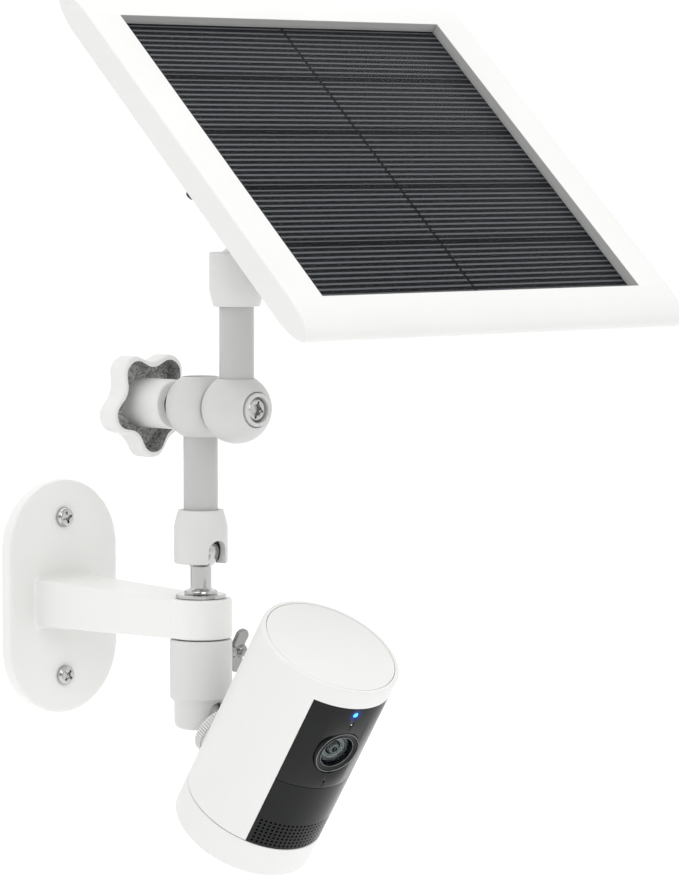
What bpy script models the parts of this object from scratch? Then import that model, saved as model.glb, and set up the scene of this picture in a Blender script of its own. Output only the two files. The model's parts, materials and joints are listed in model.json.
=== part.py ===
"""Wall-mounted security camera with its own solar panel, as an assembly of separate pieces.

Frame: metres, +Z up, origin at the centre of the wall plate's back face. The wall is the
plane y = 0 and the object stands out towards -Y. Dimensions below are in millimetres.
"""
import math

import bmesh
import bpy
from mathutils import Matrix, Vector

MM = 0.001
GAP = 0.3  # clearance between neighbouring pieces
FINENESS = 0.58  # share of each nominal segment count that the facets use

# wall bracket
PLATE_W, PLATE_H, PLATE_T, PLATE_ROUND = 60.0, 101.4, 6.0, 1.0
WALL_SCREW_Z = 34.3
WALL_SCREW_HEAD_R, WALL_SCREW_HEAD_H, WALL_SCREW_R = 4.35, 2.2, 2.0
STUD_WASHER_R, STUD_WASHER_T = 10.6, 1.6
BOLT_TOP, BOLT_HEAD_R, BOLT_HEAD_TOP, BOLT_HEAD_LOW = -3.0, 6.0, -14.9, -21.2
MAST_Y = -95.0
BOSS_R, BOSS_TOP, BOSS_BOTTOM = 13.0, 6.3, -10.4
ARM_ROOT = (16.0, -12.2, 8.4)  # half width, low z, high z
ARM_TIP = (12.4, -10.2, 6.1)
ARM_ROUND, ARM_FLARE = 2.6, 3.0  # corner radius, and how much wider the root spreads
BORE_R = 3.3
SHANK_R = 3.0

# ball joints of the mast, the panel and the camera
BALL_R, SEAT_R, NECK_R = 8.0, 8.3, 4.4
NOTCH_HALF = 4.7
FLANGE_R, FLANGE_T = 7.0, 1.6
MAST_BALL_Z = 26.2
COLLAR_R, COLLAR_SMALL_R = 11.2, 9.7
COLLAR_MOUTH, COLLAR_TAPER, COLLAR_END = -5.2, 10.2, 17.0  # from the ball centre
POLE_R, POLE_WALL = 7.15, 1.3
PAD_R, PAD_T = 8.0, 1.4

# elbow and its knob
ELBOW_Z, ELBOW_STEP, ELBOW_R = 86.3, 22.4, 14.5
ELBOW_FLAT = 12.7
ELBOW_SOCKET = 8.3  # from a ball's centre to the end of its pole's socket
BOLT_END_R, BOLT_END_T = 4.9, 3.8
WASHER_R, WASHER_T = 8.8, 0.5
CAP_RING_R, CAP_RING_IN, CAP_RING_H = 6.9, 5.3, 0.9
KNOB_TIP_R, KNOB_VALLEY_R, KNOB_LOBES = 23.0, 17.5, 5
KNOB_CROWN, KNOB_RIM, KNOB_HUB_END = 39.4, 29.3, 16.1  # along +Y from the mast axis
KNOB_WALL, KNOB_HUB_R, KNOB_BORE_R = 2.5, 10.4, 5.4

# solar panel, in the panel stud's frame: +Z along the panel's normal
PANEL_BALL_Z = 145.4
PANEL_TILT = 42.87
PANEL_CX, PANEL_CY = 86.9, 33.7
PANEL_W, PANEL_L, PANEL_T = 224.0, 206.0, 11.8
PANEL_BACK, PANEL_NOSE = 20.0, 18.5
PANEL_NECK_END, PANEL_SCREW_X, PANEL_HOLE_R = 11.4, 11.0, 5.3
NUT_R, NUT_LOW, NUT_HIGH = 6.2, 13.3, 16.4
OPEN_W, OPEN_L = 187.3, 168.4
TRAY_FLOOR, SHEET_T, GLASS_DROP = 4.0, 3.1, 3.0

# swivel under the bracket
SWIVEL_R, SWIVEL_LOW_R = 13.0, 11.2
SWIVEL_TOP, SWIVEL_STEP_A, SWIVEL_STEP_B, SWIVEL_BOTTOM = -10.8, -35.3, -37.6, -48.3
WING_Z, WING_HUB_R, WING_REACH = -17.5, 3.15, 9.7
CAM_BALL_Z = -41.0
CAM_NECK_R, CAM_NECK_END = 3.7, 9.4
WING_TURN = 15.0  # how far the wings lean from level

# camera, in its own frame: +Z up the cylinder, -Y out of the lens
CAM_R, CAM_H, CAM_WALL = 30.0, 97.0, 2.4
CAM_PITCH = 33.5
CAM_BACK = 17.0  # ball centre to the cylinder's back
CAM_STUD_DROP = 23.2  # stud below mid-height
FACE_TURN = -7.0  # lens side turned about the cylinder, away from straight opposite the stud
RING_R, RING_T = 11.4, 5.4
BASE_H, FACE_H, FACE_HALF = 15.0, 74.0, 39.0
LENS_Z, LED_Z, LIGHT_Z, MIC_Z, SEAM_Z = 17.5, 37.0, 32.2, 2.7, -0.9
LENS_RING_R, LENS_GLASS_R = 10.2, 6.9
CAP_R, CAP_T, CAP_LEDGE_R = 27.9, 2.5, 26.2
BATTERY_HALF, BATTERY_LOW, BATTERY_HIGH = 18.4, -26.0, 40.0

WHITE = (0.86, 0.86, 0.85, 1.0)
MATERIALS = {
    "white_plastic": (WHITE, 0.0, 0.45),
    "white_metal": (WHITE, 0.0, 0.35),
    "grey_plastic": ((0.30, 0.31, 0.32, 1.0), 0.0, 0.7),
    "black_gloss": ((0.015, 0.015, 0.017, 1.0), 0.0, 0.08),
    "black_plastic": ((0.03, 0.03, 0.03, 1.0), 0.0, 0.5),
    "steel": ((0.62, 0.62, 0.63, 1.0), 1.0, 0.2),
    "brass": ((0.70, 0.52, 0.22, 1.0), 1.0, 0.3),
    "glass": ((0.55, 0.60, 0.65, 0.4), 0.0, 0.03),
    "cells": ((0.03, 0.035, 0.05, 1.0), 0.1, 0.3),
    "rubber": ((0.05, 0.05, 0.05, 1.0), 0.0, 0.8),
    "board": ((0.04, 0.20, 0.09, 1.0), 0.0, 0.5),
    "blue_lamp": ((0.10, 0.30, 0.95, 1.0), 0.0, 0.2),
}

for old in list(bpy.data.objects):
    bpy.data.objects.remove(old, do_unlink=True)


def material(key, name):
    colour, metallic, rough = MATERIALS[key]
    mat = bpy.data.materials.new(name)
    mat.use_nodes = True
    shader = mat.node_tree.nodes["Principled BSDF"]
    shader.inputs["Base Color"].default_value = colour
    shader.inputs["Metallic"].default_value = metallic
    shader.inputs["Roughness"].default_value = rough
    mat.diffuse_color = colour
    return mat


def obj(name, bm, key, frame=None, smooth=35.0):
    """Store a bmesh in millimetres as one object placed by its frame (also in millimetres)."""
    bmesh.ops.remove_doubles(bm, verts=bm.verts, dist=1e-5)
    bmesh.ops.recalc_face_normals(bm, faces=bm.faces)
    bmesh.ops.scale(bm, vec=(MM, MM, MM), verts=bm.verts)
    mesh = bpy.data.meshes.new(name)
    bm.to_mesh(mesh)
    bm.free()
    out = bpy.data.objects.new(name, mesh)
    bpy.context.scene.collection.objects.link(out)
    place = frame.copy() if frame else Matrix.Identity(4)
    place.translation *= MM
    out.matrix_world = place
    if key:
        mesh.materials.append(material(key, name))
        mesh.shade_smooth()
        mesh.set_sharp_from_angle(angle=math.radians(smooth))
    return out


def lathe(profile, segments=48, ribs=0.0):
    """Turn a closed outline of (radius, height) about Z. Ribs lower every other point."""
    if segments > 8:
        segments = 2 * max(6, round(segments * FINENESS / 2))
    bm = bmesh.new()
    widest = max(r for r, z in profile)
    loops = []
    for r, z in profile:
        if r < 1e-6:
            loops.append([bm.verts.new((0, 0, z))])
            continue
        ring = []
        for i in range(segments):
            t = 2 * math.pi * i / segments
            q = r - (ribs if i % 2 and r == widest else 0.0)
            ring.append(bm.verts.new((q * math.cos(t), q * math.sin(t), z)))
        loops.append(ring)
    for a, b in zip(loops, loops[1:] + loops[:1]):
        if len(a) == 1 and len(b) == 1:
            continue
        for i in range(segments):
            j = (i + 1) % segments
            if len(a) == 1:
                bm.faces.new((a[0], b[i], b[j]))
            elif len(b) == 1:
                bm.faces.new((a[i], b[0], a[j]))
            else:
                bm.faces.new((a[i], b[i], b[j], a[j]))
    return bm


def prism(outline, z0, z1):
    """Raise a flat outline of (x, y) from z0 to z1."""
    bm = bmesh.new()
    low = [bm.verts.new((x, y, z0)) for x, y in outline]
    high = [bm.verts.new((x, y, z1)) for x, y in outline]
    bm.faces.new(low)
    bm.faces.new(high)
    for i in range(len(outline)):
        j = (i + 1) % len(outline)
        bm.faces.new((low[i], low[j], high[j], high[i]))
    return bm


def box(x0, x1, y0, y1, z0, z1):
    return prism(((x0, y0), (x1, y0), (x1, y1), (x0, y1)), z0, z1)


def arc(cx, cy, r, a0, a1, n):
    """Points on a circle from angle a0 to a1 in degrees."""
    n = max(2, round(n * (FINENESS + 0.1)))
    out = []
    for i in range(n + 1):
        t = math.radians(a0 + (a1 - a0) * i / n)
        out.append((cx + r * math.cos(t), cy + r * math.sin(t)))
    return out


def bevelled(bm, width, segments=2, angle=40.0):
    """Round the edges of a bmesh that are sharper than the angle."""
    bmesh.ops.recalc_face_normals(bm, faces=bm.faces)
    edges = [e for e in bm.edges if e.calc_face_angle() > math.radians(angle)]
    bmesh.ops.bevel(bm, geom=edges, offset=width, segments=segments, profile=0.5, affect="EDGES")
    return bm


def moved(bm, frame):
    bmesh.ops.transform(bm, matrix=frame, verts=bm.verts)
    return bm


def combine(target, bm, operation, frame=None):
    """Boolean a bmesh, in the target's own millimetre frame, into the target object."""
    tool = obj("tool", bm, None, None)
    if frame:
        tool.data.transform(Matrix.Scale(MM, 4) @ frame @ Matrix.Scale(1 / MM, 4))
    tool.matrix_world = target.matrix_world.copy()
    mod = target.modifiers.new(operation, "BOOLEAN")
    mod.operation = operation
    mod.solver = "EXACT"
    mod.object = tool
    bpy.context.view_layer.update()
    graph = bpy.context.evaluated_depsgraph_get()
    mesh = bpy.data.meshes.new_from_object(target.evaluated_get(graph))
    target.modifiers.clear()
    old = target.data
    target.data = mesh
    mesh.name = target.name
    bpy.data.meshes.remove(old)
    bpy.data.objects.remove(tool, do_unlink=True)
    bm = bmesh.new()
    bm.from_mesh(mesh)
    bmesh.ops.remove_doubles(bm, verts=bm.verts, dist=2e-6)
    bmesh.ops.dissolve_degenerate(bm, edges=bm.edges, dist=2e-6)
    bm.to_mesh(mesh)
    bm.free()
    return target


def cut(target, bm, frame=None):
    return combine(target, bm, "DIFFERENCE", frame)


def join(target, bm, frame=None):
    return combine(target, bm, "UNION", frame)


def at(x, y, z, rx=0.0, ry=0.0, rz=0.0):
    """A frame in millimetres, turned about X, then Y, then Z, in degrees."""
    turn = Matrix.Rotation(math.radians(rz), 4, "Z") @ Matrix.Rotation(math.radians(ry), 4, "Y")
    turn = turn @ Matrix.Rotation(math.radians(rx), 4, "X")
    return Matrix.Translation((x, y, z)) @ turn


ALONG_X = at(0, 0, 0, ry=90.0)
ALONG_Y = at(0, 0, 0, rx=-90.0)  # +Z turns to +Y
ALONG_NEG_Y = at(0, 0, 0, rx=90.0)  # +Z turns to -Y
MAST = at(0, MAST_Y, 0)


def disc(r, z0, z1, edge=0.0, segments=48):
    """A solid round slug, its upper edge eased."""
    if edge:
        top = [(r, z1 - edge), (r - edge * 0.3, z1 - edge * 0.3), (r - edge, z1)]
    else:
        top = [(r, z1)]
    return lathe([(0, z0), (r, z0)] + top + [(0, z1)], segments)


def ring(r_out, r_in, z0, z1, edge=0.3, segments=48, ribs=0.0):
    outline = [(r_in, z0), (r_out - edge, z0), (r_out, z0 + edge), (r_out, z1 - edge)]
    return lathe(outline + [(r_out - edge, z1), (r_in, z1)], segments, ribs)


def ball_stud(neck_end, neck_r, flange_r, flange_t, thread_end):
    """Ball at the origin, then a neck, a domed flange and a plain shank along +Z."""
    start = math.degrees(math.asin(neck_r / BALL_R))
    ball = [(max(0.0, x), y) for x, y in arc(0, 0, BALL_R, -90, 90 - start, 12)]
    ball[0] = (0.0, -BALL_R)
    flange = [(neck_r, neck_end), (flange_r - 1.0, neck_end + 0.3)]
    flange += [(flange_r, neck_end + 0.9), (flange_r, neck_end + flange_t)]
    tail = [(SHANK_R, neck_end + flange_t), (SHANK_R, thread_end - 0.6)]
    return lathe(ball + flange + tail + [(SHANK_R - 0.6, thread_end), (0, thread_end)], 40)


def ball_collar():
    """Collar round a ball at the origin: mouth below, pole bore above, notch towards -Y."""
    seat = [(SEAT_R, COLLAR_TAPER - 0.2)]
    low = math.degrees(math.asin(COLLAR_MOUTH / SEAT_R))
    seat += arc(0, 0, SEAT_R, 0, low, 4)
    mouth_r = seat[-1][0]
    outline = [(mouth_r, COLLAR_MOUTH), (COLLAR_R - 0.8, COLLAR_MOUTH)]
    outline += [(COLLAR_R, COLLAR_MOUTH + 0.8), (COLLAR_R, COLLAR_TAPER)]
    outline += [(COLLAR_SMALL_R, COLLAR_END - 0.6), (COLLAR_SMALL_R - 0.6, COLLAR_END)]
    outline += [(POLE_R + GAP, COLLAR_END), (POLE_R + GAP, COLLAR_TAPER - 0.2)]
    return lathe(outline + seat[:-1], 48)


def notch_cutter(half, depth, mouth):
    """Round-ended slot from below the mouth up to the ball centre, opening towards -Y."""
    outline = [(half, mouth - 2.0)] + arc(0, 0, half, 0, 180, 10) + [(-half, mouth - 2.0)]
    return moved(prism(outline, 0, depth), ALONG_NEG_Y)


# ---------------------------------------------------------------- wall bracket
def stadium(width, height, n=24):
    r = width / 2
    s = height / 2 - r
    return arc(0, s, r, 0, 180, n) + arc(0, -s, r, 180, 360, n)


plate = moved(bevelled(prism(stadium(PLATE_W, PLATE_H), 0, PLATE_T), PLATE_ROUND, 2), ALONG_NEG_Y)
for v in plate.verts:
    if v.co.y > -PLATE_ROUND * 0.999:
        v.co.y = 0.0
bracket = obj("wall_bracket", plate, "white_metal")


def arm_loft(steps=6):
    """Arm from the plate to the boss: a rounded rectangle that narrows, wider at its root."""
    bm = bmesh.new()
    rows = []
    for i in range(steps + 1):
        t = i / steps
        flare = ARM_FLARE if i == 0 else 0.0
        half = ARM_ROOT[0] + (ARM_TIP[0] - ARM_ROOT[0]) * t + flare
        low = ARM_ROOT[1] + (ARM_TIP[1] - ARM_ROOT[1]) * t - flare * 0.6
        high = ARM_ROOT[2] + (ARM_TIP[2] - ARM_ROOT[2]) * t + flare * 0.6
        y = -PLATE_T + 1.0 + (MAST_Y + PLATE_T) * t
        r = ARM_ROUND
        pts = arc(half - r, high - r, r, 0, 90, 4) + arc(-half + r, high - r, r, 90, 180, 4)
        pts += arc(-half + r, low + r, r, 180, 270, 4) + arc(half - r, low + r, r, 270, 360, 4)
        rows.append([bm.verts.new((x, y, z)) for x, z in pts])
    for a, b in zip(rows, rows[1:]):
        for i in range(len(a)):
            j = (i + 1) % len(a)
            bm.faces.new((a[i], a[j], b[j], b[i]))
    bm.faces.new(rows[0])
    bm.faces.new(rows[-1])
    return bm


join(bracket, arm_loft())
boss = lathe([(0, BOSS_BOTTOM), (BOSS_R - 0.5, BOSS_BOTTOM), (BOSS_R, BOSS_BOTTOM + 0.5),
              (BOSS_R, BOSS_TOP - 1.0), (BOSS_R - 0.3, BOSS_TOP - 0.3), (BOSS_R - 1.0, BOSS_TOP),
              (0, BOSS_TOP)], 64)
join(bracket, boss, MAST)
cut(bracket, disc(BORE_R, BOSS_BOTTOM - 2, BOSS_TOP + 2, segments=24), MAST)
for sz in (WALL_SCREW_Z, -WALL_SCREW_Z):
    cut(bracket, disc(WALL_SCREW_R + GAP, -2, PLATE_T + 2, segments=24),
        at(0, 0, sz) @ ALONG_NEG_Y)


def cross_cutter(reach, width, z0, z1):
    half = width / 2
    pts = [(reach, -half), (reach, half), (half, half), (half, reach), (-half, reach)]
    pts += [(-half, half), (-reach, half), (-reach, -half), (-half, -half), (-half, -reach)]
    return prism(pts + [(half, -reach), (half, -half)], z0, z1)


def wall_screw(name, z):
    """Pan-head cross screw; its shank stops at the wall plane."""
    h0, h1 = PLATE_T + GAP, PLATE_T + GAP + WALL_SCREW_HEAD_H
    r = WALL_SCREW_HEAD_R
    outline = [(0, 0.2), (WALL_SCREW_R, 0.2), (WALL_SCREW_R, h0), (r, h0), (r, h0 + 0.9)]
    outline += [(r - 0.5, h0 + 1.6), (r - 1.6, h1 - 0.15), (r - 2.6, h1), (0, h1)]
    screw = obj(name, lathe(outline, 32), "steel", at(0, 0, z) @ ALONG_NEG_Y)
    cut(screw, cross_cutter(2.5, 1.0, h1 - 1.3, h1 + 1), at(0, 0, 0, rz=12.0))


wall_screw("wall_screw_upper", WALL_SCREW_Z)
wall_screw("wall_screw_lower", -WALL_SCREW_Z)
washer_low = BOSS_TOP + 0.2
obj("stud_washer", ring(STUD_WASHER_R, BORE_R, washer_low, washer_low + STUD_WASHER_T), "steel",
    MAST)

bolt = [(0, BOLT_TOP), (SHANK_R, BOLT_TOP), (SHANK_R, BOLT_HEAD_TOP), (BOLT_HEAD_R, BOLT_HEAD_TOP)]
bolt += [(BOLT_HEAD_R, BOLT_HEAD_LOW + 0.8), (BOLT_HEAD_R - 0.8, BOLT_HEAD_LOW)]
obj("swivel_bolt", lathe(bolt + [(0, BOLT_HEAD_LOW)], 40), "steel", MAST)

# ---------------------------------------------------------------- mast
neck_end = MAST_BALL_Z - BOSS_TOP - 3.7
obj("mast_ball_stud", ball_stud(neck_end, NECK_R, FLANGE_R, FLANGE_T, MAST_BALL_Z - 0.2), "steel",
    at(0, MAST_Y, MAST_BALL_Z, rx=180.0))

MAST_BALL = at(0, MAST_Y, MAST_BALL_Z)
lower_collar = obj("lower_collar", ball_collar(), "white_plastic", MAST_BALL)
cut(lower_collar, notch_cutter(NOTCH_HALF, 14.0, COLLAR_MOUTH))


def pole(name, frame, z0, z1):
    r = POLE_R
    outline = [(r - POLE_WALL, z0), (r, z0), (r, z1), (r - POLE_WALL, z1)]
    return obj(name, lathe(outline, 40), "white_metal", frame)


pole_inset = ELBOW_SOCKET + GAP
pole("lower_pole", MAST_BALL, COLLAR_TAPER + GAP, ELBOW_Z - MAST_BALL_Z - pole_inset)
pad = [(0, BALL_R + GAP), (PAD_R, BALL_R + GAP), (PAD_R, BALL_R + GAP + PAD_T)]
obj("lower_pressure_pad", lathe(pad + [(0, BALL_R + GAP + PAD_T)], 32), "grey_plastic", MAST_BALL)


# ---------------------------------------------------------------- elbow
def flattened_ball(name, frame, low, high):
    """Ball cut flat at both ends of its own Z axis, its edges eased."""
    a0 = math.degrees(math.asin(low / ELBOW_R))
    a1 = math.degrees(math.asin(high / ELBOW_R))
    outline = [(0, low)] + arc(0, 0, ELBOW_R, a0, a1, 14) + [(0, high)]
    ball = obj(name, lathe(outline, 56), "white_plastic", frame)
    cut(ball, disc(BORE_R, low - 2, high + 2, segments=24))
    return ball


SEAM = ELBOW_STEP / 2 - WASHER_T / 2 - 0.25
LOWER_ELBOW = at(0, MAST_Y, ELBOW_Z)
UPPER_ELBOW = at(0, MAST_Y - ELBOW_STEP, ELBOW_Z)
ball_low = flattened_ball("elbow_ball_lower", LOWER_ELBOW @ ALONG_Y, -SEAM, ELBOW_FLAT)
socket_end = ELBOW_R + 5.5
cut(ball_low, disc(POLE_R + GAP, ELBOW_SOCKET, socket_end, segments=40),
    ALONG_Y.inverted() @ at(0, 0, 0, rx=180.0))
ball_up = flattened_ball("elbow_ball_upper", UPPER_ELBOW @ ALONG_Y, -ELBOW_FLAT, SEAM)
cut(ball_up, disc(POLE_R + GAP, ELBOW_SOCKET, socket_end, segments=40), ALONG_Y.inverted())
cut(ball_up, disc(CAP_RING_IN, -socket_end, -ELBOW_FLAT + 4.4, segments=40))
obj("elbow_washer", ring(WASHER_R, BORE_R, -WASHER_T / 2, WASHER_T / 2, 0.1), "black_plastic",
    at(0, MAST_Y - ELBOW_STEP / 2, ELBOW_Z) @ ALONG_Y)
obj("bolt_cap_ring", ring(CAP_RING_R, CAP_RING_IN, ELBOW_FLAT + 0.1,
                          ELBOW_FLAT + 0.1 + CAP_RING_H, 0.3), "white_plastic",
    UPPER_ELBOW @ ALONG_NEG_Y)

head_0 = -ELBOW_STEP - ELBOW_FLAT + 0.3
head_1 = head_0 + BOLT_END_T
bolt = [(0, head_0), (BOLT_END_R - 0.4, head_0), (BOLT_END_R, head_0 + 0.4)]
bolt += [(BOLT_END_R, head_1), (SHANK_R, head_1)]
bolt += [(SHANK_R, KNOB_CROWN - 4.0), (0, KNOB_CROWN - 4.0)]
clamp = obj("clamp_bolt", lathe(bolt, 40), "steel", LOWER_ELBOW @ ALONG_Y)
cut(clamp, lathe([(0, head_0 - 1), (2.6, head_0 - 1), (2.6, head_0 + 2.4), (0, head_0 + 2.4)], 6))


# ---------------------------------------------------------------- knob
def lobed(tip, valley, n=60):
    """Five-lobed outline with one lobe towards -Z of the world once laid along Y."""
    out = []
    for i in range(n):
        t = 2 * math.pi * i / n
        swing = math.cos(KNOB_LOBES * (t - math.pi / 2))
        broad = swing * (5 - swing ** 2) / 4  # flatter at the lobes and in the valleys
        r = valley + (tip - valley) * (1 + broad) / 2
        out.append((r * math.cos(t), r * math.sin(t)))
    return out


knob = obj("star_knob", bevelled(prism(lobed(KNOB_TIP_R, KNOB_VALLEY_R), KNOB_RIM, KNOB_CROWN),
                                 0.8, 2), "white_plastic", LOWER_ELBOW @ ALONG_Y)
inner = lobed(KNOB_TIP_R - KNOB_WALL, KNOB_VALLEY_R - KNOB_WALL)
cut(knob, prism(inner, KNOB_RIM - 2, KNOB_CROWN - KNOB_WALL))
join(knob, disc(KNOB_HUB_R, KNOB_HUB_END, KNOB_CROWN - KNOB_WALL + 0.5))
cut(knob, disc(KNOB_BORE_R, KNOB_HUB_END - 1, KNOB_CROWN - KNOB_WALL - 0.4, segments=40))
obj("knob_insert", ring(KNOB_BORE_R - 0.2, SHANK_R + 0.15, KNOB_CROWN - 13.0,
                        KNOB_CROWN - 3.4, 0.3, 32), "brass", LOWER_ELBOW @ ALONG_Y)

# ---------------------------------------------------------------- upper mast
UPPER_AXIS = at(0, MAST_Y - ELBOW_STEP, PANEL_BALL_Z)
pole("upper_pole", UPPER_AXIS, ELBOW_Z + pole_inset - PANEL_BALL_Z, -COLLAR_TAPER - GAP)
obj("upper_pressure_pad", lathe([(r, -z) for r, z in pad] + [(0, -BALL_R - GAP - PAD_T)], 32),
    "grey_plastic", UPPER_AXIS)
flip = at(0, 0, 0, rx=180.0, rz=180.0)
upper_collar = obj("upper_collar", moved(ball_collar(), flip), "white_plastic", UPPER_AXIS)
cut(upper_collar, notch_cutter(NOTCH_HALF, 14.0, COLLAR_MOUTH), at(0, 0, 0, ry=180.0))

# ---------------------------------------------------------------- solar panel
PANEL = at(0, MAST_Y - ELBOW_STEP, PANEL_BALL_Z, rx=PANEL_TILT)
CENTRE = at(PANEL_CX, PANEL_CY, PANEL_BACK)
stud = ball_stud(PANEL_NECK_END, NECK_R, FLANGE_R, FLANGE_T, PANEL_BACK + 0.6)
obj("panel_ball_stud", stud, "steel", PANEL)
nut = obj("panel_lock_nut", disc(NUT_R, NUT_LOW, NUT_HIGH, 0.0, 6), "steel", PANEL)
cut(nut, disc(SHANK_R + 0.15, NUT_LOW - 1, NUT_HIGH + 1, segments=32))


def nose_outline(length, thick, nose, n=8):
    """Section of the frame: flat back and front, half-elliptical top and bottom edges."""
    half, r = length / 2 - nose, thick / 2
    out = []
    for side in (1, -1):
        for i in range(n + 1):
            t = math.radians(-90 + 180 * i / n)
            out.append((side * (half + nose * math.cos(t)), r + side * r * math.sin(t)))
    return out


section = nose_outline(PANEL_L, PANEL_T, PANEL_NOSE)
ACROSS = Matrix(((0, 0, 1, 0), (1, 0, 0, 0), (0, 1, 0, 0), (0, 0, 0, 1)))  # +Z turns to +X
slab = moved(prism(section, -PANEL_W / 2, PANEL_W / 2), ACROSS)
frame_obj = obj("panel_frame", moved(slab, CENTRE), "white_plastic", PANEL)
cut(frame_obj, box(-OPEN_W / 2, OPEN_W / 2, -OPEN_L / 2, OPEN_L / 2, TRAY_FLOOR, 20), CENTRE)
cut(frame_obj, disc(PANEL_HOLE_R, -5, 8, segments=32), at(0, 0, PANEL_BACK))
inlet_at = at(PANEL_CX - PANEL_W / 2 + 9.0, 26.0, PANEL_BACK)
cut(frame_obj, disc(2.3, -5, 8, segments=24), inlet_at)
half_w, half_l = OPEN_W / 2 - GAP, OPEN_L / 2 - GAP
cells = box(-half_w, half_w, -half_l, half_l, TRAY_FLOOR + GAP, TRAY_FLOOR + GAP + SHEET_T)
obj("panel_cell_sheet", moved(cells, CENTRE), "cells", PANEL)
pane_low = TRAY_FLOOR + SHEET_T + 2 * GAP
pane = box(-half_w, half_w, -half_l, half_l, pane_low, PANEL_T - GLASS_DROP)
obj("panel_glass", moved(pane, CENTRE), "glass", PANEL)
back_plate = obj("panel_mount_plate", ring(16.0, PANEL_HOLE_R, PANEL_BACK - 3.0, PANEL_BACK - 0.2, 0.8),
                 "white_plastic", PANEL)
obj("panel_insert", ring(5.0, SHANK_R + 0.15, PANEL_BACK - 2.9, PANEL_BACK + 3.8, 0.3, 32),
    "brass", PANEL)
for side, x in (("left", -PANEL_SCREW_X), ("right", PANEL_SCREW_X)):
    cut(back_plate, disc(1.9, PANEL_BACK - 5, PANEL_BACK + 1, segments=20), at(x, 0, 0))
    cut(frame_obj, disc(1.4, PANEL_BACK - 1, PANEL_BACK + 3.2, segments=20), at(x, 0, 0))
    z = PANEL_BACK
    outline = [(0, z - 4.9), (1.8, z - 4.9), (2.6, z - 4.2), (2.6, z - 3.3), (1.2, z - 3.3)]
    screw = obj("panel_screw_" + side, lathe(outline + [(1.2, z + 3.0), (0, z + 3.0)], 24),
                "steel", PANEL @ at(x, 0, 0))
    cut(screw, cross_cutter(1.7, 0.7, z - 6, z - 4.1))
gland = [(0.9, -6.0), (2.4, -6.0), (3.0, -5.2), (4.6, -0.9), (4.6, -0.3), (2.0, -0.3)]
obj("cable_inlet", lathe(gland + [(2.0, 3.6), (0.9, 3.6)], 32), "rubber", PANEL @ inlet_at)

# ---------------------------------------------------------------- swivel
ball_z = CAM_BALL_Z
seat = arc(0, ball_z, SEAT_R, 0, math.degrees(math.asin((SWIVEL_BOTTOM - ball_z) / SEAT_R)), 5)
shell = [(BORE_R, SWIVEL_TOP), (SWIVEL_R - 0.5, SWIVEL_TOP), (SWIVEL_R, SWIVEL_TOP - 0.5)]
shell += [(SWIVEL_R, SWIVEL_STEP_A), (SWIVEL_LOW_R, SWIVEL_STEP_B)]
shell += [(SWIVEL_LOW_R, SWIVEL_BOTTOM + 3.4), (SWIVEL_LOW_R - 0.7, SWIVEL_BOTTOM + 1.5)]
shell += [(SWIVEL_LOW_R - 2.4, SWIVEL_BOTTOM)] + seat[::-1]
shell += [(SEAT_R, -14.6), (BORE_R, -14.6)]
housing = obj("swivel_housing", lathe(shell, 56), "white_plastic", MAST)
cut(housing, notch_cutter(4.6, 16.0, SWIVEL_BOTTOM - ball_z), at(0, 0, ball_z))
cut(housing, disc(2.7, 4, 16, segments=24), at(0, 0, WING_Z) @ ALONG_X)
top = ball_z + BALL_R + GAP
plunger = [(0, top), (7.9, top), (7.9, top + 5.0), (5.0, top + 6.0), (5.0, -22.0), (0, -22.0)]
obj("swivel_plunger", lathe(plunger, 32), "grey_plastic", MAST)

WING = MAST @ at(0, 0, WING_Z) @ ALONG_X
screw = [(0, 6.3), (1.8, 6.3), (2.4, 6.9), (2.4, 13.4), (WING_HUB_R, 13.4)]
screw += [(WING_HUB_R, 24.4), (WING_HUB_R - 0.6, 25.0), (0, 25.0)]
wing = obj("wing_screw", lathe(screw, 32), "steel", WING)
for turn in (180.0, 0.0):
    flat = [(1.0, 15.6), (1.0, 23.6)] + arc(WING_REACH - 3.4, 21.4, 3.2, 60, -30, 6)
    flat += [(4.0, 15.6)]
    wings = moved(prism(flat, -1.1, 1.1), at(0, 0, 0, rx=90.0))
    join(wing, bevelled(wings, 0.35, 1), at(0, 0, 0, rz=turn + WING_TURN))

# ---------------------------------------------------------------- camera
STUD = at(0, MAST_Y, CAM_BALL_Z, rx=90.0 + CAM_PITCH)
obj("camera_ball_stud", ball_stud(CAM_NECK_END, CAM_NECK_R, CAM_NECK_R + 0.05, 1.2, CAM_BACK + 6.0),
    "white_metal", STUD)
ring_0 = CAM_BACK - 0.3 - RING_T
knurled = [(3.9, ring_0 + 2.6), (7.4, ring_0 + 2.6), (9.2, ring_0), (RING_R - 0.6, ring_0)]
knurled += [(RING_R, ring_0 + 0.7), (RING_R, ring_0 + RING_T - 0.8)]
knurled += [(RING_R - 0.6, ring_0 + RING_T - 0.2), (6.5, ring_0 + RING_T - 0.2)]
obj("lock_ring", lathe(knurled + [(3.9, ring_0 + RING_T - 0.2)], 72, ribs=0.4),
    "white_plastic", STUD, smooth=20.0)

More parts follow.
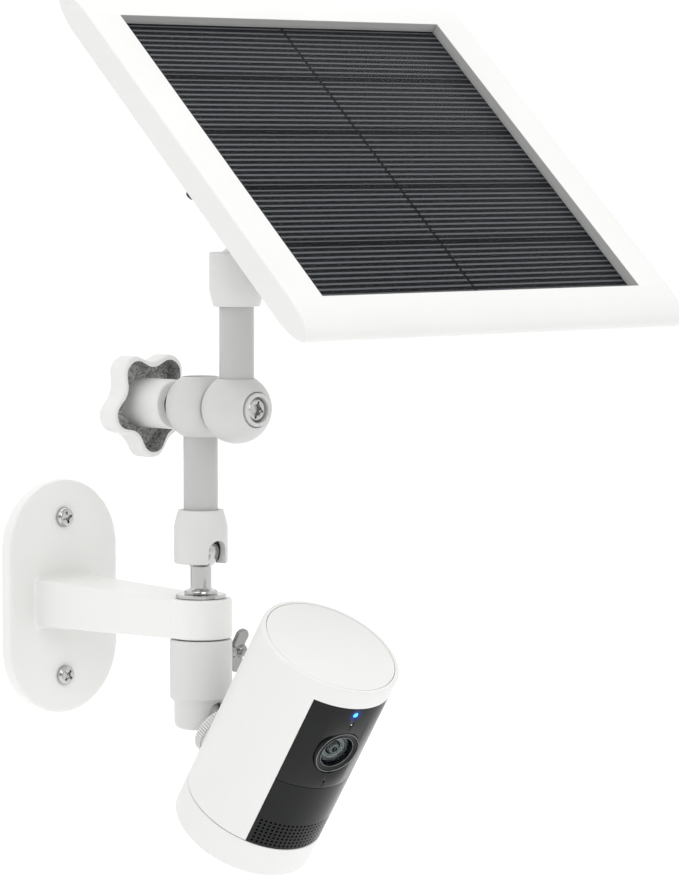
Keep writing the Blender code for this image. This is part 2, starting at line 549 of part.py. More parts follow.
centre = STUD @ Vector((0, CAM_STUD_DROP, CAM_BACK + CAM_R))
CAM = at(centre.x, centre.y, centre.z, rx=CAM_PITCH) @ at(0, 0, 0, rz=FACE_TURN)
TOP, LOW = CAM_H / 2, -CAM_H / 2
BASE_TOP = LOW + BASE_H
FACE_TOP = BASE_TOP + FACE_H
IN_R = CAM_R - CAM_WALL
body = [(IN_R, BASE_TOP), (CAM_R, BASE_TOP), (CAM_R, TOP - 1.4), (CAM_R - 0.4, TOP - 0.4)]
recess_r, recess_z = CAP_R + GAP, TOP - CAP_T - 2 * GAP
body += [(CAM_R - 1.4, TOP), (recess_r, TOP), (recess_r, recess_z), (CAP_LEDGE_R, recess_z)]
body += [(CAP_LEDGE_R, recess_z - 1.5), (IN_R, recess_z - 3.0)]
camera_shell = obj("camera_shell", lathe(body, 96), "white_plastic", CAM)


def sector(half, reach, z0, z1, inner=0.0):
    """Wedge facing -Y, between z0 and z1."""
    pts = arc(0, 0, reach, -90 - half, -90 + half, 24)
    pts += arc(0, 0, inner, -90 + half, -90 - half, 24) if inner else [(0, 0)]
    return prism(pts, z0, z1)


cut(camera_shell, sector(FACE_HALF, 40.0, BASE_TOP - 3, FACE_TOP))
back_hole = at(0, 0, -CAM_STUD_DROP, rz=-FACE_TURN) @ ALONG_Y
cut(camera_shell, disc(5.3, 15, 35, segments=32), back_hole)
obj("top_cap", disc(CAP_R, TOP - 0.1 - CAP_T, TOP - 0.1, 0.4, 72), "white_plastic", CAM)
obj("mount_insert", ring(5.0, SHANK_R + 0.15, 20.4, CAM_R - 0.2, 0.3, 32), "brass",
    CAM @ back_hole)

FACE_R, FACE_IN = CAM_R - 0.05, CAM_R - 2.2
half = FACE_HALF - 0.5
upper_face = obj("face_upper", sector(half, FACE_R, SEAM_Z + 0.15, FACE_TOP - 0.3, FACE_IN),
                 "black_gloss", CAM)
lower_face = obj("face_lower", sector(half, FACE_R, BASE_TOP + 0.1, SEAM_Z - 0.15, FACE_IN),
                 "black_gloss", CAM)
for z, r in ((LENS_Z, LENS_RING_R + 0.3), (LED_Z, 1.7), (LIGHT_Z, 1.3), (MIC_Z, 0.6)):
    cut(upper_face, disc(r, 20, 35, segments=40 if r > 5 else 16), at(0, 0, z) @ ALONG_NEG_Y)

LENS = CAM @ at(0, 0, LENS_Z) @ ALONG_NEG_Y
rim = [(LENS_GLASS_R + 0.2, 26.4), (LENS_RING_R, 26.4), (LENS_RING_R, 29.2)]
rim += [(LENS_RING_R - 0.5, 29.7), (LENS_GLASS_R + 1.0, 29.7), (LENS_GLASS_R + 0.2, 28.9)]
obj("lens_ring", lathe(rim, 64), "black_plastic", LENS)
dome = [(0, 26.6), (LENS_GLASS_R, 26.6), (LENS_GLASS_R, 28.4), (5.4, 28.9), (3.6, 29.25)]
obj("lens_glass", lathe(dome + [(1.8, 29.45), (0, 29.5)], 48), "glass", LENS)
barrel = [(0, 12.0), (6.4, 12.0), (6.4, 26.2), (5.4, 26.2), (4.6, 22.5), (0, 22.2)]
obj("lens_barrel", lathe(barrel, 40), "black_plastic", LENS)
obj("led_window", disc(1.4, 26.6, 29.8, 0.2, 20), "blue_lamp", CAM @ at(0, 0, LED_Z) @ ALONG_NEG_Y)
obj("light_sensor_window", disc(1.0, 26.6, 29.8, 0.2, 20), "grey_plastic",
    CAM @ at(0, 0, LIGHT_Z) @ ALONG_NEG_Y)


def block(name, key, x, y0, y1, z0, z1, ease=0.0):
    bm = box(-x, x, y0, y1, z0, z1)
    obj(name, bevelled(bm, ease, 2) if ease else bm, key, CAM)


block("sensor_board", "board", 11.0, -11.6, -10.2, LENS_Z - 11, LENS_Z + 11)
block("main_board", "board", 23.0, -3.4, -1.8, -26.0, 38.0)
block("chassis", "black_plastic", 22.0, -1.4, 0.2, -30.0, 40.0)
block("battery_pack", "grey_plastic", BATTERY_HALF, 0.6, 18.9, BATTERY_LOW, BATTERY_HIGH, 3.0)
obj("speaker", lathe([(0, 17.5), (9.0, 17.5), (9.0, 20.5), (12.5, 20.5), (12.5, 23.2), (0, 23.2)],
                     40), "black_plastic", CAM @ at(0, 0, -21.0) @ ALONG_NEG_Y)
obj("motion_sensor", disc(4.4, 23.6, 26.4, 0.3, 32), "steel",
    CAM @ at(0, 0, -4.6) @ ALONG_NEG_Y)
obj("microphone", disc(1.7, 25.2, 27.2, 0.2, 20), "steel",
    CAM @ at(0, 0, MIC_Z) @ ALONG_NEG_Y)

cup = [(0, LOW), (CAM_R - 1.4, LOW), (CAM_R - 0.4, LOW + 0.4), (CAM_R, LOW + 1.4)]
cup += [(CAM_R, BASE_TOP - GAP), (IN_R, BASE_TOP - GAP), (IN_R, LOW + 2.5), (0, LOW + 2.5)]
obj("base_cap", lathe(cup, 96), "white_plastic", CAM)
seal = [(25.6, BASE_TOP - 3.2), (IN_R - 0.25, BASE_TOP - 3.2), (IN_R - 0.25, BASE_TOP + 2.4)]
obj("base_seal", lathe(seal + [(25.6, BASE_TOP + 2.4)], 64), "rubber", CAM)
port = bevelled(box(-4.6, 4.6, -1.7, 1.7, BASE_TOP - 6.0, BASE_TOP + 1.0), 0.6, 2)
charge_port = obj("charge_port", port, "steel", CAM)
cut(charge_port, box(-3.9, 3.9, -1.1, 1.1, BASE_TOP - 8, BASE_TOP - 1.5))
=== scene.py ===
"""Builds the looks of a wall-mounted solar security camera around its packed frame."""

import json
import math

import bpy
from mathutils import Matrix, Vector


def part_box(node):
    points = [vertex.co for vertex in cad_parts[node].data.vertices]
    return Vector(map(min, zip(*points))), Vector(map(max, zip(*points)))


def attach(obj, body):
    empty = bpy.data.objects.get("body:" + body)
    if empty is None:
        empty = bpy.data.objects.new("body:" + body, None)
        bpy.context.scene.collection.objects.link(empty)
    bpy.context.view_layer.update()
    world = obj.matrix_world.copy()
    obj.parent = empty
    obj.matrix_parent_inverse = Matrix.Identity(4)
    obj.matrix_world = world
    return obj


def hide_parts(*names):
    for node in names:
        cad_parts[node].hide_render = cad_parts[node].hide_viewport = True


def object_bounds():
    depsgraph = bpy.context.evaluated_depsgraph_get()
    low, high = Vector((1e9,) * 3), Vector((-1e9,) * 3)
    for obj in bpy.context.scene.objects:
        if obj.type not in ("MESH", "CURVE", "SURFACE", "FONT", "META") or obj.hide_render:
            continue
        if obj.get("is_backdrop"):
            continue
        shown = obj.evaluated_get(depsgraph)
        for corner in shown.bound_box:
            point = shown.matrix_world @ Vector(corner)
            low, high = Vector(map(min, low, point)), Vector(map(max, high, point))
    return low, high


bl_info = {
    "name": "Solar security camera",
    "version": (1, 0, 0),
    "blender": (4, 5, 0),
    "location": "View3D > Sidebar > Camera",
    "description": "Models the visible pieces of a solar-powered wall camera",
    "category": "Object",
}

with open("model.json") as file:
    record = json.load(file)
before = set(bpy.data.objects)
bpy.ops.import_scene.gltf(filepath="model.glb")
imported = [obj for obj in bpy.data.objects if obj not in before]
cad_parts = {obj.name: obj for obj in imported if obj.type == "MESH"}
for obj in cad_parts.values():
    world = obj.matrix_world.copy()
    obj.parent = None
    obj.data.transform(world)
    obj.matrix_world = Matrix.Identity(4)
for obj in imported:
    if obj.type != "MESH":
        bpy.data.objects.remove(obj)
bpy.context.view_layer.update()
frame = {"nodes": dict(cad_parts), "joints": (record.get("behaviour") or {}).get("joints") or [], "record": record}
MM = 0.001
ROUND_STEPS = 96

# fits shared by several pieces, in millimetres
BORE = 3.3  # clearance bore round a shank
SHANK, SHANK_END = 3.0, 2.6  # a threaded shank, and its eased tip
THREAD_ROOT, THREAD_PITCH = 2.72, 1.0
SEAT = 8.3  # socket round a ball
NECK, FLANGE, FLANGE_DEPTH = 4.4, 7.0, 1.6  # a ball stud below its shank
INSERT_BORE = 3.15  # bore of the brass inserts and of the lock nut
STUD_HOLE = 5.3  # hole in the panel, its foot and the camera for a stud's insert
POLE_WALL = 1.3
FOOT_SCREW_X = 11.0  # from the panel's stud to each foot screw
SEAM_LINE = -0.9  # between the two parts of the camera's face


# ---------------------------------------------------------------- sizes and colours
def length(label, millimetres, words):
    """A length the user can change, given in millimetres."""
    return bpy.props.FloatProperty(name=label, description=words, default=millimetres * MM,
                                   min=0.0, unit="LENGTH", precision=5)


def paint(label, code, words):
    """A colour the user can change, given as an sRGB hex code."""
    return bpy.props.FloatVectorProperty(name=label, description=words, size=4, min=0.0, max=1.0,
                                         subtype="COLOR", default=linear(code))


def linear(code):
    """Linear RGBA from an sRGB hex code."""
    parts = [int(code[i:i + 2], 16) / 255 for i in (1, 3, 5)]
    return tuple(c / 12.92 if c <= 0.04045 else ((c + 0.055) / 1.055) ** 2.4 for c in parts) + (1,)


class MountSizes(bpy.types.PropertyGroup):
    """Sizes of the bracket, the mast and the swivel."""

    plate_radius: length("Plate radius", 30.0, "Radius of the wall plate's round ends")
    plate_height: length("Plate height", 101.4, "Overall height of the wall plate")
    plate_depth: length("Plate depth", 6.0, "Thickness of the wall plate")
    ball_radius: length("Ball radius", 8.0, "Radius of every ball stud")
    pole_radius: length("Pole radius", 7.15, "Outer radius of the mast's poles")
    elbow_radius: length("Elbow radius", 14.5, "Radius of the two elbow balls")
    knob_tip: length("Knob tip radius", 23.0, "Radius of the star knob at its lobes")
    knob_valley: length("Knob valley radius", 17.5, "Radius of the star knob between its lobes")


class PanelSizes(bpy.types.PropertyGroup):
    """Sizes of the solar panel, in its own frame with the stud's ball at the origin."""

    centre_x: length("Centre across", 86.9, "From the stud to the panel's middle, across")
    centre_y: length("Centre up", 33.7, "From the stud to the panel's middle, up the slope")
    width: length("Width", 224.0, "Across the panel")
    height: length("Height", 206.0, "Up the panel's slope")
    depth: length("Depth", 11.8, "Thickness of the panel")
    back: length("Back", 20.0, "From the stud's ball to the panel's back")
    nose: length("Nose", 18.5, "Depth of the rounded top and bottom edges")
    window_width: length("Window width", 187.3, "Across the glass")
    window_height: length("Window height", 168.4, "Up the glass")
    cell_pitch: length("Cell line pitch", 3.06, "Between two silver lines on the cells")


class CameraSizes(bpy.types.PropertyGroup):
    """Sizes of the camera, in its own frame with +Z up the cylinder and -Y out of the lens."""

    radius: length("Radius", 30.0, "Radius of the camera's body")
    height: length("Height", 97.0, "Height of the camera's body")
    wall: length("Wall", 2.4, "Thickness of the body's wall")
    stud_drop: length("Stud drop", 23.2, "From mid-height down to the stud")
    back: length("Back", 17.0, "From the stud's ball to the body's back")
    base: length("Base height", 15.0, "Height of the base cap")
    face: length("Face height", 74.0, "Height of the dark face")
    face_angle: bpy.props.FloatProperty(
        name="Face half angle", description="Half the angle the dark face takes up",
        default=math.radians(39.0), subtype="ANGLE")
    turn: bpy.props.FloatProperty(
        name="Face turn", description="Turn of the lens side about the body's axis",
        default=math.radians(-7.0), subtype="ANGLE")
    lens_height: length("Lens height", 17.5, "Lens centre above mid-height")
    lamp_height: length("Lamp height", 37.0, "Status lamp's centre above mid-height")
    sensor_height: length("Sensor height", 32.2, "Light sensor's centre above mid-height")
    hole_pitch: length("Speaker pitch", 2.0, "Between two speaker holes")
    hole_radius: length("Speaker hole", 0.55, "Radius of a speaker hole")


class Colours(bpy.types.PropertyGroup):
    """Base colours of the finishes."""

    white: paint("White", "#DCDCDA", "Moulded and coated white parts")
    black: paint("Black", "#0C0D0E", "Glossy face")
    steel: paint("Steel", "#B9B9B8", "Plated screws and studs")
    cell: paint("Cell", "#0B0C0E", "Solar cells")
    silver: paint("Silver line", "#5A5C60", "Printed lines on the cells")
    lamp: paint("Lamp", "#1E7BFF", "Status lamp")


class StageSettings(bpy.types.PropertyGroup):
    """Where the object is looked at from."""

    azimuth: bpy.props.FloatProperty(
        name="Azimuth", description="Angle of the view round the object",
        default=math.radians(-43.55), subtype="ANGLE")
    elevation: bpy.props.FloatProperty(
        name="Elevation", description="Angle of the view above the horizon",
        default=math.radians(4.013), subtype="ANGLE")
    distance: length("Distance", 1750.0, "From the camera to the point it aims at")
    aim: bpy.props.FloatVectorProperty(
        name="Aim", description="Point the camera aims at", size=3, subtype="XYZ",
        unit="LENGTH", default=(0.0723, -0.1027, 0.0695))
    focal: bpy.props.FloatProperty(
        name="Focal length", description="Lens of the view in millimetres", default=168.34)


# ---------------------------------------------------------------- places
def joint(name):
    return next(j for j in frame["joints"] if j["name"] == name)


def axes(origin, z, x=(1.0, 0.0, 0.0)):
    """A frame at a point, with its Z and X axes given."""
    z = Vector(z).normalized()
    x = Vector(x)
    y = z.cross(x).normalized()
    turn = Matrix((x, y, z)).transposed().to_4x4()
    return Matrix.Translation(Vector(origin)) @ turn


UP, OUT, INTO = (0.0, 0.0, 1.0), (0.0, -1.0, 0.0), (0.0, 1.0, 0.0)
WALL = axes((0, 0, 0), OUT)
MAST_BALL = axes(joint("mast_tilt")["pos_m"], UP)
MAST = axes((0, MAST_BALL.translation.y, 0), UP)
ELBOW = axes(joint("elbow_turn")["pos_m"], INTO)
KNOB = axes((0, MAST.translation.y, ELBOW.translation.z), INTO)
PANEL_BALL = axes(joint("panel_tilt")["pos_m"], UP)
PANEL = axes(joint("panel_tilt")["pos_m"], joint("panel_spin")["axis"])
STUD = axes(joint("camera_tilt")["pos_m"], joint("camera_roll")["axis"])
WING = axes(joint("wing_screw_turn")["pos_m"], (1, 0, 0), (0, 0, -1))
ALONG_X = Matrix.Rotation(math.pi / 2, 4, "Y")
ALONG_OUT = Matrix.Rotation(math.pi / 2, 4, "X")


def slide(x=0.0, y=0.0, z=0.0):
    """A move in millimetres."""
    return Matrix.Translation((x * MM, y * MM, z * MM))


def camera_frame():
    """The camera body's frame: centre of the cylinder, +Z up it, -Y out of the lens."""
    size = bpy.context.scene.camera_sizes
    centre = STUD @ Vector((0, size.stud_drop, size.back + size.radius))
    up = STUD.to_3x3() @ Vector((0, 1, 0))
    return axes(centre, up) @ Matrix.Rotation(size.turn, 4, "Z")


# ---------------------------------------------------------------- modelling
def deselect():
    """Leave edit mode and select nothing."""
    if bpy.context.object and bpy.context.object.mode != "OBJECT":
        bpy.ops.object.mode_set(mode="OBJECT")
    bpy.ops.object.select_all(action="DESELECT")


def activate(obj):
    deselect()
    obj.select_set(True)
    bpy.context.view_layer.objects.active = obj


def named(name):
    obj = bpy.context.active_object
    obj.name = name
    obj.data.name = name
    return obj


def edit(obj):
    activate(obj)
    bpy.ops.object.mode_set(mode="EDIT")


def pick_faces(obj, test):
    """In edit mode, select just the faces whose centre and normal pass the test."""
    bpy.ops.mesh.select_mode(type="FACE")
    bpy.ops.mesh.select_all(action="DESELECT")
    bpy.ops.object.mode_set(mode="OBJECT")
    for face in obj.data.polygons:
        face.select = test(face.center, face.normal)
    bpy.ops.object.mode_set(mode="EDIT")


def mend():
    """In edit mode, merge doubles and face everything outwards."""
    bpy.ops.mesh.select_mode(type="VERT")
    bpy.ops.mesh.select_all(action="SELECT")
    bpy.ops.mesh.remove_doubles(threshold=2e-6)
    bpy.ops.mesh.normals_make_consistent(inside=False)
    bpy.ops.object.mode_set(mode="OBJECT")


def draw(name, outline, close=False):
    """Draw a chain of edges from points in metres by extruding one vertex."""
    deselect()
    bpy.ops.mesh.primitive_plane_add(size=MM)
    obj = named(name)
    edit(obj)
    bpy.ops.mesh.select_mode(type="VERT")
    bpy.ops.mesh.select_all(action="SELECT")
    bpy.ops.mesh.merge(type="CENTER")
    points = [Vector(p) for p in outline]
    bpy.ops.transform.translate(value=points[0])
    for a, b in zip(points, points[1:]):
        bpy.ops.mesh.extrude_vertices_move(TRANSFORM_OT_translate={"value": b - a})
    if close:
        bpy.ops.mesh.select_all(action="SELECT")
        bpy.ops.mesh.edge_face_add()
    return obj


def turned(name, outline, steps=ROUND_STEPS):
    """Spin a closed outline of (radius, height) in millimetres about Z."""
    outline = [(r if r > 1e-6 else 0.0, z) for r, z in outline]
    ring = outline[0][0] > 0 or outline[-1][0] > 0
    path = list(outline) + ([outline[0]] if ring else [])
    obj = draw(name, [(r * MM, 0, z * MM) for r, z in path])
    bpy.ops.mesh.select_all(action="SELECT")
    bpy.ops.mesh.spin(steps=steps, angle=2 * math.pi, center=(0, 0, 0), axis=(0, 0, 1))
    mend()
    return obj


def raised(name, outline, z0, z1):
    """Fill a flat outline of (x, y) in millimetres and extrude it from z0 to z1."""
    obj = draw(name, [(x * MM, y * MM, z0 * MM) for x, y in outline], close=True)
    bpy.ops.mesh.select_all(action="SELECT")
    bpy.ops.mesh.extrude_region_move(TRANSFORM_OT_translate={"value": (0, 0, (z1 - z0) * MM)})
    mend()
    return obj


def arc(cx, cy, r, start, stop, n):
    """Points on a circle between two angles in degrees."""
    angles = [math.radians(start + (stop - start) * i / n) for i in range(n + 1)]
    return [(cx + r * math.cos(t), cy + r * math.sin(t)) for t in angles]


def apply_modifiers(obj):
    activate(obj)
    for mod in list(obj.modifiers):
        bpy.ops.object.modifier_apply(modifier=mod.name)


def rounded(obj, width, segments=3, angle=35.0):
    """Ease every edge sharper than the angle by a width in millimetres."""
    mod = obj.modifiers.new("edges", "BEVEL")
    mod.width = width * MM
    mod.segments = segments
    mod.limit_method = "ANGLE"
    mod.angle_limit = math.radians(angle)
    mod.use_clamp_overlap = True
    apply_modifiers(obj)
    edit(obj)
    mend()
    return obj


def boolean(obj, tool, operation="DIFFERENCE", place=None):
    """Cut or join with a tool piece, which is then removed."""
    if place is not None:
        tool.matrix_world = place
    bpy.context.view_layer.update()
    mod = obj.modifiers.new("solid", "BOOLEAN")
    mod.operation = operation
    mod.solver = "EXACT"
    mod.object = tool
    apply_modifiers(obj)
    bpy.data.objects.remove(tool, do_unlink=True)
    edit(obj)
    mend()
    return obj


def placed(obj, place):
    """Put a finished mesh in place, with the object itself left at the origin."""
    activate(obj)
    obj.matrix_world = place
    bpy.ops.object.transform_apply(location=True, rotation=True, scale=True)
    return obj


def settle(obj, place, body, finish, slot, *nodes, smooth=30.0):
    """Place, shade, paint and hang a finished piece on its body in place of CAD nodes."""
    if place is not None:
        placed(obj, place)
    activate(obj)
    bpy.ops.object.shade_smooth_by_angle(angle=math.radians(smooth))
    if not obj.data.materials:
        obj.data.materials.append(finishes()[finish])
    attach(obj, body)
    if nodes:
        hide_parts(*nodes)


def disc(name, r, z0, z1, steps=ROUND_STEPS):
    return turned(name, [(0, z0), (r, z0), (r, z1), (0, z1)], steps)


# ---------------------------------------------------------------- finishes
def add(tree, kind, inputs=None, **settings):
    """Add a node with its settings, socket values and links."""
    node = tree.nodes.new(kind)
    for key, value in settings.items():
        setattr(node, key, value)
    for key, value in (inputs or {}).items():
        if isinstance(value, bpy.types.NodeSocket):
            tree.links.new(value, node.inputs[key])
        else:
            node.inputs[key].default_value = value
    return node


def blank(name, **sockets):
    """A new material with its Principled shader set, and its Object coordinates."""
    mat = bpy.data.materials.get(name)
    if mat:
        return mat, None, None, None
    mat = bpy.data.materials.new(name)
    mat.use_nodes = True
    tree = mat.node_tree
    shader = tree.nodes["Principled BSDF"]
    for key, value in sockets.items():
        shader.inputs[key.replace("_", " ")].default_value = value
    coords = add(tree, "ShaderNodeTexCoord").outputs["Object"]
    return mat, tree, shader, coords


def per_metre(millimetres):
    """Texture scale whose features are about this size."""
    return 1.0 / (millimetres * MM)


def moulded_plastic(name, colour, grain=0.9, roughness=0.42, depth=0.05):
    """Satin ABS from a spark-eroded mould: an even, very fine orange-peel, softly uneven gloss."""
    mat, tree, shader, coords = blank(name, Roughness=roughness, IOR=1.53)
    if not tree:
        return mat
    cloud = add(tree, "ShaderNodeTexNoise",
                {"Vector": coords, "Scale": per_metre(40), "Detail": 2.0}).outputs["Fac"]
    shade = tuple(c * 0.955 for c in colour[:3]) + (1,)
    tone = add(tree, "ShaderNodeMix", {"Factor": cloud, "A": tuple(colour), "B": shade},
               data_type="RGBA")
    tree.links.new(tone.outputs["Result"], shader.inputs["Base Color"])
    fine = add(tree, "ShaderNodeTexNoise",
               {"Vector": coords, "Scale": per_metre(grain), "Detail": 3.0}).outputs["Fac"]
    gloss = add(tree, "ShaderNodeMapRange",
                {"Value": fine, "To Min": roughness - 0.05, "To Max": roughness + 0.07})
    tree.links.new(gloss.outputs["Result"], shader.inputs["Roughness"])
    bump = add(tree, "ShaderNodeBump", {"Height": fine, "Strength": depth, "Distance": 0.0002})
    tree.links.new(bump.outputs["Normal"], shader.inputs["Normal"])
    return mat


def sparked_pocket_shade(name):
    """Coarse spark-eroded pocket: matt, its grey painted shade in the knob's hollow over a real stipple, broken
    into fine dark and bright grains.
    """
    mat, tree, shader, coords = blank(name, Roughness=0.75, IOR=1.5)
    if not tree:
        return mat
    grain = add(tree, "ShaderNodeTexVoronoi", {"Vector": coords, "Scale": per_metre(0.75)})
    shade = add(tree, "ShaderNodeSeparateXYZ", {"Vector": grain.outputs["Color"]})
    tone = add(tree, "ShaderNodeMix", {"Factor": shade.outputs["X"], "A": linear("#6E6E6C"),
                                       "B": linear("#B9B9B7")}, data_type="RGBA")
    tree.links.new(tone.outputs["Result"], shader.inputs["Base Color"])
    bump = add(tree, "ShaderNodeBump", {"Height": grain.outputs["Distance"], "Strength": 0.6,
                                        "Distance": 0.0003})
    tree.links.new(bump.outputs["Normal"], shader.inputs["Normal"])
    return mat


def powder_coat(name, colour):
    """Powder-coated casting and tube: a wavier, slightly glossier skin than moulded plastic."""
    mat, tree, shader, coords = blank(name, Roughness=0.34, IOR=1.5)
    if not tree:
        return mat
    wave = add(tree, "ShaderNodeTexNoise",
               {"Vector": coords, "Scale": per_metre(2.4), "Detail": 2.0}).outputs["Fac"]
    cloud = add(tree, "ShaderNodeTexNoise",
                {"Vector": coords, "Scale": per_metre(55), "Detail": 1.0}).outputs["Fac"]
    shade = tuple(c * 0.96 for c in colour[:3]) + (1,)
    tone = add(tree, "ShaderNodeMix", {"Factor": cloud, "A": tuple(colour), "B": shade},
               data_type="RGBA")
    tree.links.new(tone.outputs["Result"], shader.inputs["Base Color"])
    gloss = add(tree, "ShaderNodeMapRange", {"Value": wave, "To Min": 0.3, "To Max": 0.42})
    tree.links.new(gloss.outputs["Result"], shader.inputs["Roughness"])
    bump = add(tree, "ShaderNodeBump", {"Height": wave, "Strength": 0.07, "Distance": 0.0004})
    tree.links.new(bump.outputs["Normal"], shader.inputs["Normal"])
    return mat


def plated_steel(name, colour):
    """Nickel-chrome plate over steel: mirror-like, its polish faintly uneven."""
    mat, tree, shader, coords = blank(name, Metallic=1.0, Roughness=0.14, Base_Color=tuple(colour))
    if not tree:
        return mat
    streak = add(tree, "ShaderNodeTexNoise",
                 {"Vector": coords, "Scale": per_metre(1.2), "Detail": 4.0}).outputs["Fac"]
    gloss = add(tree, "ShaderNodeMapRange", {"Value": streak, "To Min": 0.06, "To Max": 0.2})
    tree.links.new(gloss.outputs["Result"], shader.inputs["Roughness"])
    bump = add(tree, "ShaderNodeBump", {"Height": streak, "Strength": 0.05, "Distance": 0.0001})
    tree.links.new(bump.outputs["Normal"], shader.inputs["Normal"])
    return mat


def gloss_black(name, colour, glow=None):
    """Piano-black polycarbonate: deep, polished, with a painted blue glow round the lamp where it would light the
    face.
    """
    roughness = 0.18
    mat, tree, shader, coords = blank(name, Roughness=roughness, IOR=1.3)
    if not tree:
        return mat
    flow = add(tree, "ShaderNodeTexNoise",
               {"Vector": coords, "Scale": per_metre(18), "Detail": 2.0}).outputs["Fac"]
    lift = tuple(min(1.0, c * 1.5 + 0.004) for c in colour[:3]) + (1,)
    tone = add(tree, "ShaderNodeMix", {"Factor": flow, "A": tuple(colour), "B": lift},
               data_type="RGBA")
    tree.links.new(tone.outputs["Result"], shader.inputs["Base Color"])
    gloss = add(tree, "ShaderNodeMapRange",
                {"Value": flow, "To Min": roughness - 0.03, "To Max": roughness + 0.05})
    tree.links.new(gloss.outputs["Result"], shader.inputs["Roughness"])
    # Painted glow: the face emits blue light round the lamp, fading with distance from it.
    if glow:
        away = add(tree, "ShaderNodeVectorMath", {0: coords, 1: glow}, operation="DISTANCE")
        fade = add(tree, "ShaderNodeMapRange",
                   {"Value": away.outputs["Value"], "From Min": 0.0012, "From Max": 0.0042,
                    "To Min": 1.0, "To Max": 0.0}, interpolation_type="SMOOTHERSTEP")
        bleed = add(tree, "ShaderNodeMath", {0: fade.outputs["Result"], 1: 0.2},
                    operation="MULTIPLY")
        shader.inputs["Emission Color"].default_value = linear("#0A55D8")
        tree.links.new(bleed.outputs[0], shader.inputs["Emission Strength"])
    return mat


def sight_glass(name, code, face_alpha, roughness=0.03, rim=0.4):
    """Clear pane: see-through face on, and brighter where it is seen at a slant."""
    mat, tree, shader, coords = blank(name, Roughness=roughness, IOR=1.5, Base_Color=linear(code))
    if not tree:
        return mat
    facing = add(tree, "ShaderNodeLayerWeight", {"Blend": 0.5}).outputs["Facing"]
    slant = add(tree, "ShaderNodeMath", {0: facing, 1: 5.0}, operation="POWER").outputs[0]
    edge = add(tree, "ShaderNodeMath", {0: slant, 1: rim}, operation="MULTIPLY").outputs[0]
    smear = add(tree, "ShaderNodeTexNoise",
                {"Vector": coords, "Scale": per_metre(30), "Detail": 2.0}).outputs["Fac"]
    film = add(tree, "ShaderNodeMapRange",
               {"Value": smear, "To Min": face_alpha * 0.8, "To Max": face_alpha * 1.2})
    alpha = add(tree, "ShaderNodeMath", {0: edge, 1: film.outputs["Result"]}, operation="ADD",
                use_clamp=True)
    tree.links.new(alpha.outputs["Value"], shader.inputs["Alpha"])
    return mat


def solar_cells(name, colours, pitch, rows, columns):
    """Dark blue-black silicon: thin printed silver lines, gaps between rows, a centre gap."""
    size = bpy.context.scene.panel_sizes
    mat, tree, shader, coords = blank(name, Roughness=0.55, IOR=1.15)
    if not tree:
        return mat
    inverse = (PANEL @ Matrix.Translation((size.centre_x, size.centre_y, 0))).inverted()
    local = add(tree, "ShaderNodeMapping",
                {"Vector": coords, "Location": inverse.translation,
                 "Rotation": inverse.to_euler()}).outputs["Vector"]
    split = add(tree, "ShaderNodeSeparateXYZ", {"Vector": local})

    def wrapped(value, span, half):
        """1 within half a width of each multiple of the span, in metres."""
        near = add(tree, "ShaderNodeMath", {0: value, 1: span}, operation="PINGPONG")
        return add(tree, "ShaderNodeMath", {0: near.outputs[0], 1: half}, operation="LESS_THAN")

    row = size.window_height / rows
    shifted = add(tree, "ShaderNodeMath", {0: split.outputs["Y"], 1: row / 2 + rows * row},
                  operation="ADD").outputs[0]
    fine = add(tree, "ShaderNodeMath", {0: shifted, 1: pitch / 2}, operation="ADD").outputs[0]
    silver = wrapped(fine, pitch / 2, 0.5 * MM)
    gaps = wrapped(shifted, row / 2, 1.45 * MM)
    middle = wrapped(split.outputs["X"], size.window_width / columns, 0.75 * MM)
    dark = add(tree, "ShaderNodeMath", {0: gaps.outputs[0], 1: middle.outputs[0]},
               operation="MAXIMUM")
    cloud = add(tree, "ShaderNodeTexNoise",
                {"Vector": coords, "Scale": per_metre(16), "Detail": 4.0}).outputs["Fac"]
    base = tuple(colours.cell)
    lift = tuple(c * 1.6 for c in base[:3]) + (1,)
    silicon = add(tree, "ShaderNodeMix", {"Factor": cloud, "A": base, "B": lift},
                  data_type="RGBA").outputs["Result"]
    lined = add(tree, "ShaderNodeMix", {"Factor": silver.outputs[0], "A": silicon,
                                        "B": tuple(colours.silver)}, data_type="RGBA")
    final = add(tree, "ShaderNodeMix", {"Factor": dark.outputs[0], "A": lined.outputs["Result"],
                                        "B": linear("#050506")}, data_type="RGBA")
    tree.links.new(final.outputs["Result"], shader.inputs["Base Color"])
    bump = add(tree, "ShaderNodeBump", {"Height": silver.outputs[0], "Strength": 0.25,
                                        "Distance": 0.0001})
    tree.links.new(bump.outputs["Normal"], shader.inputs["Normal"])
    return mat


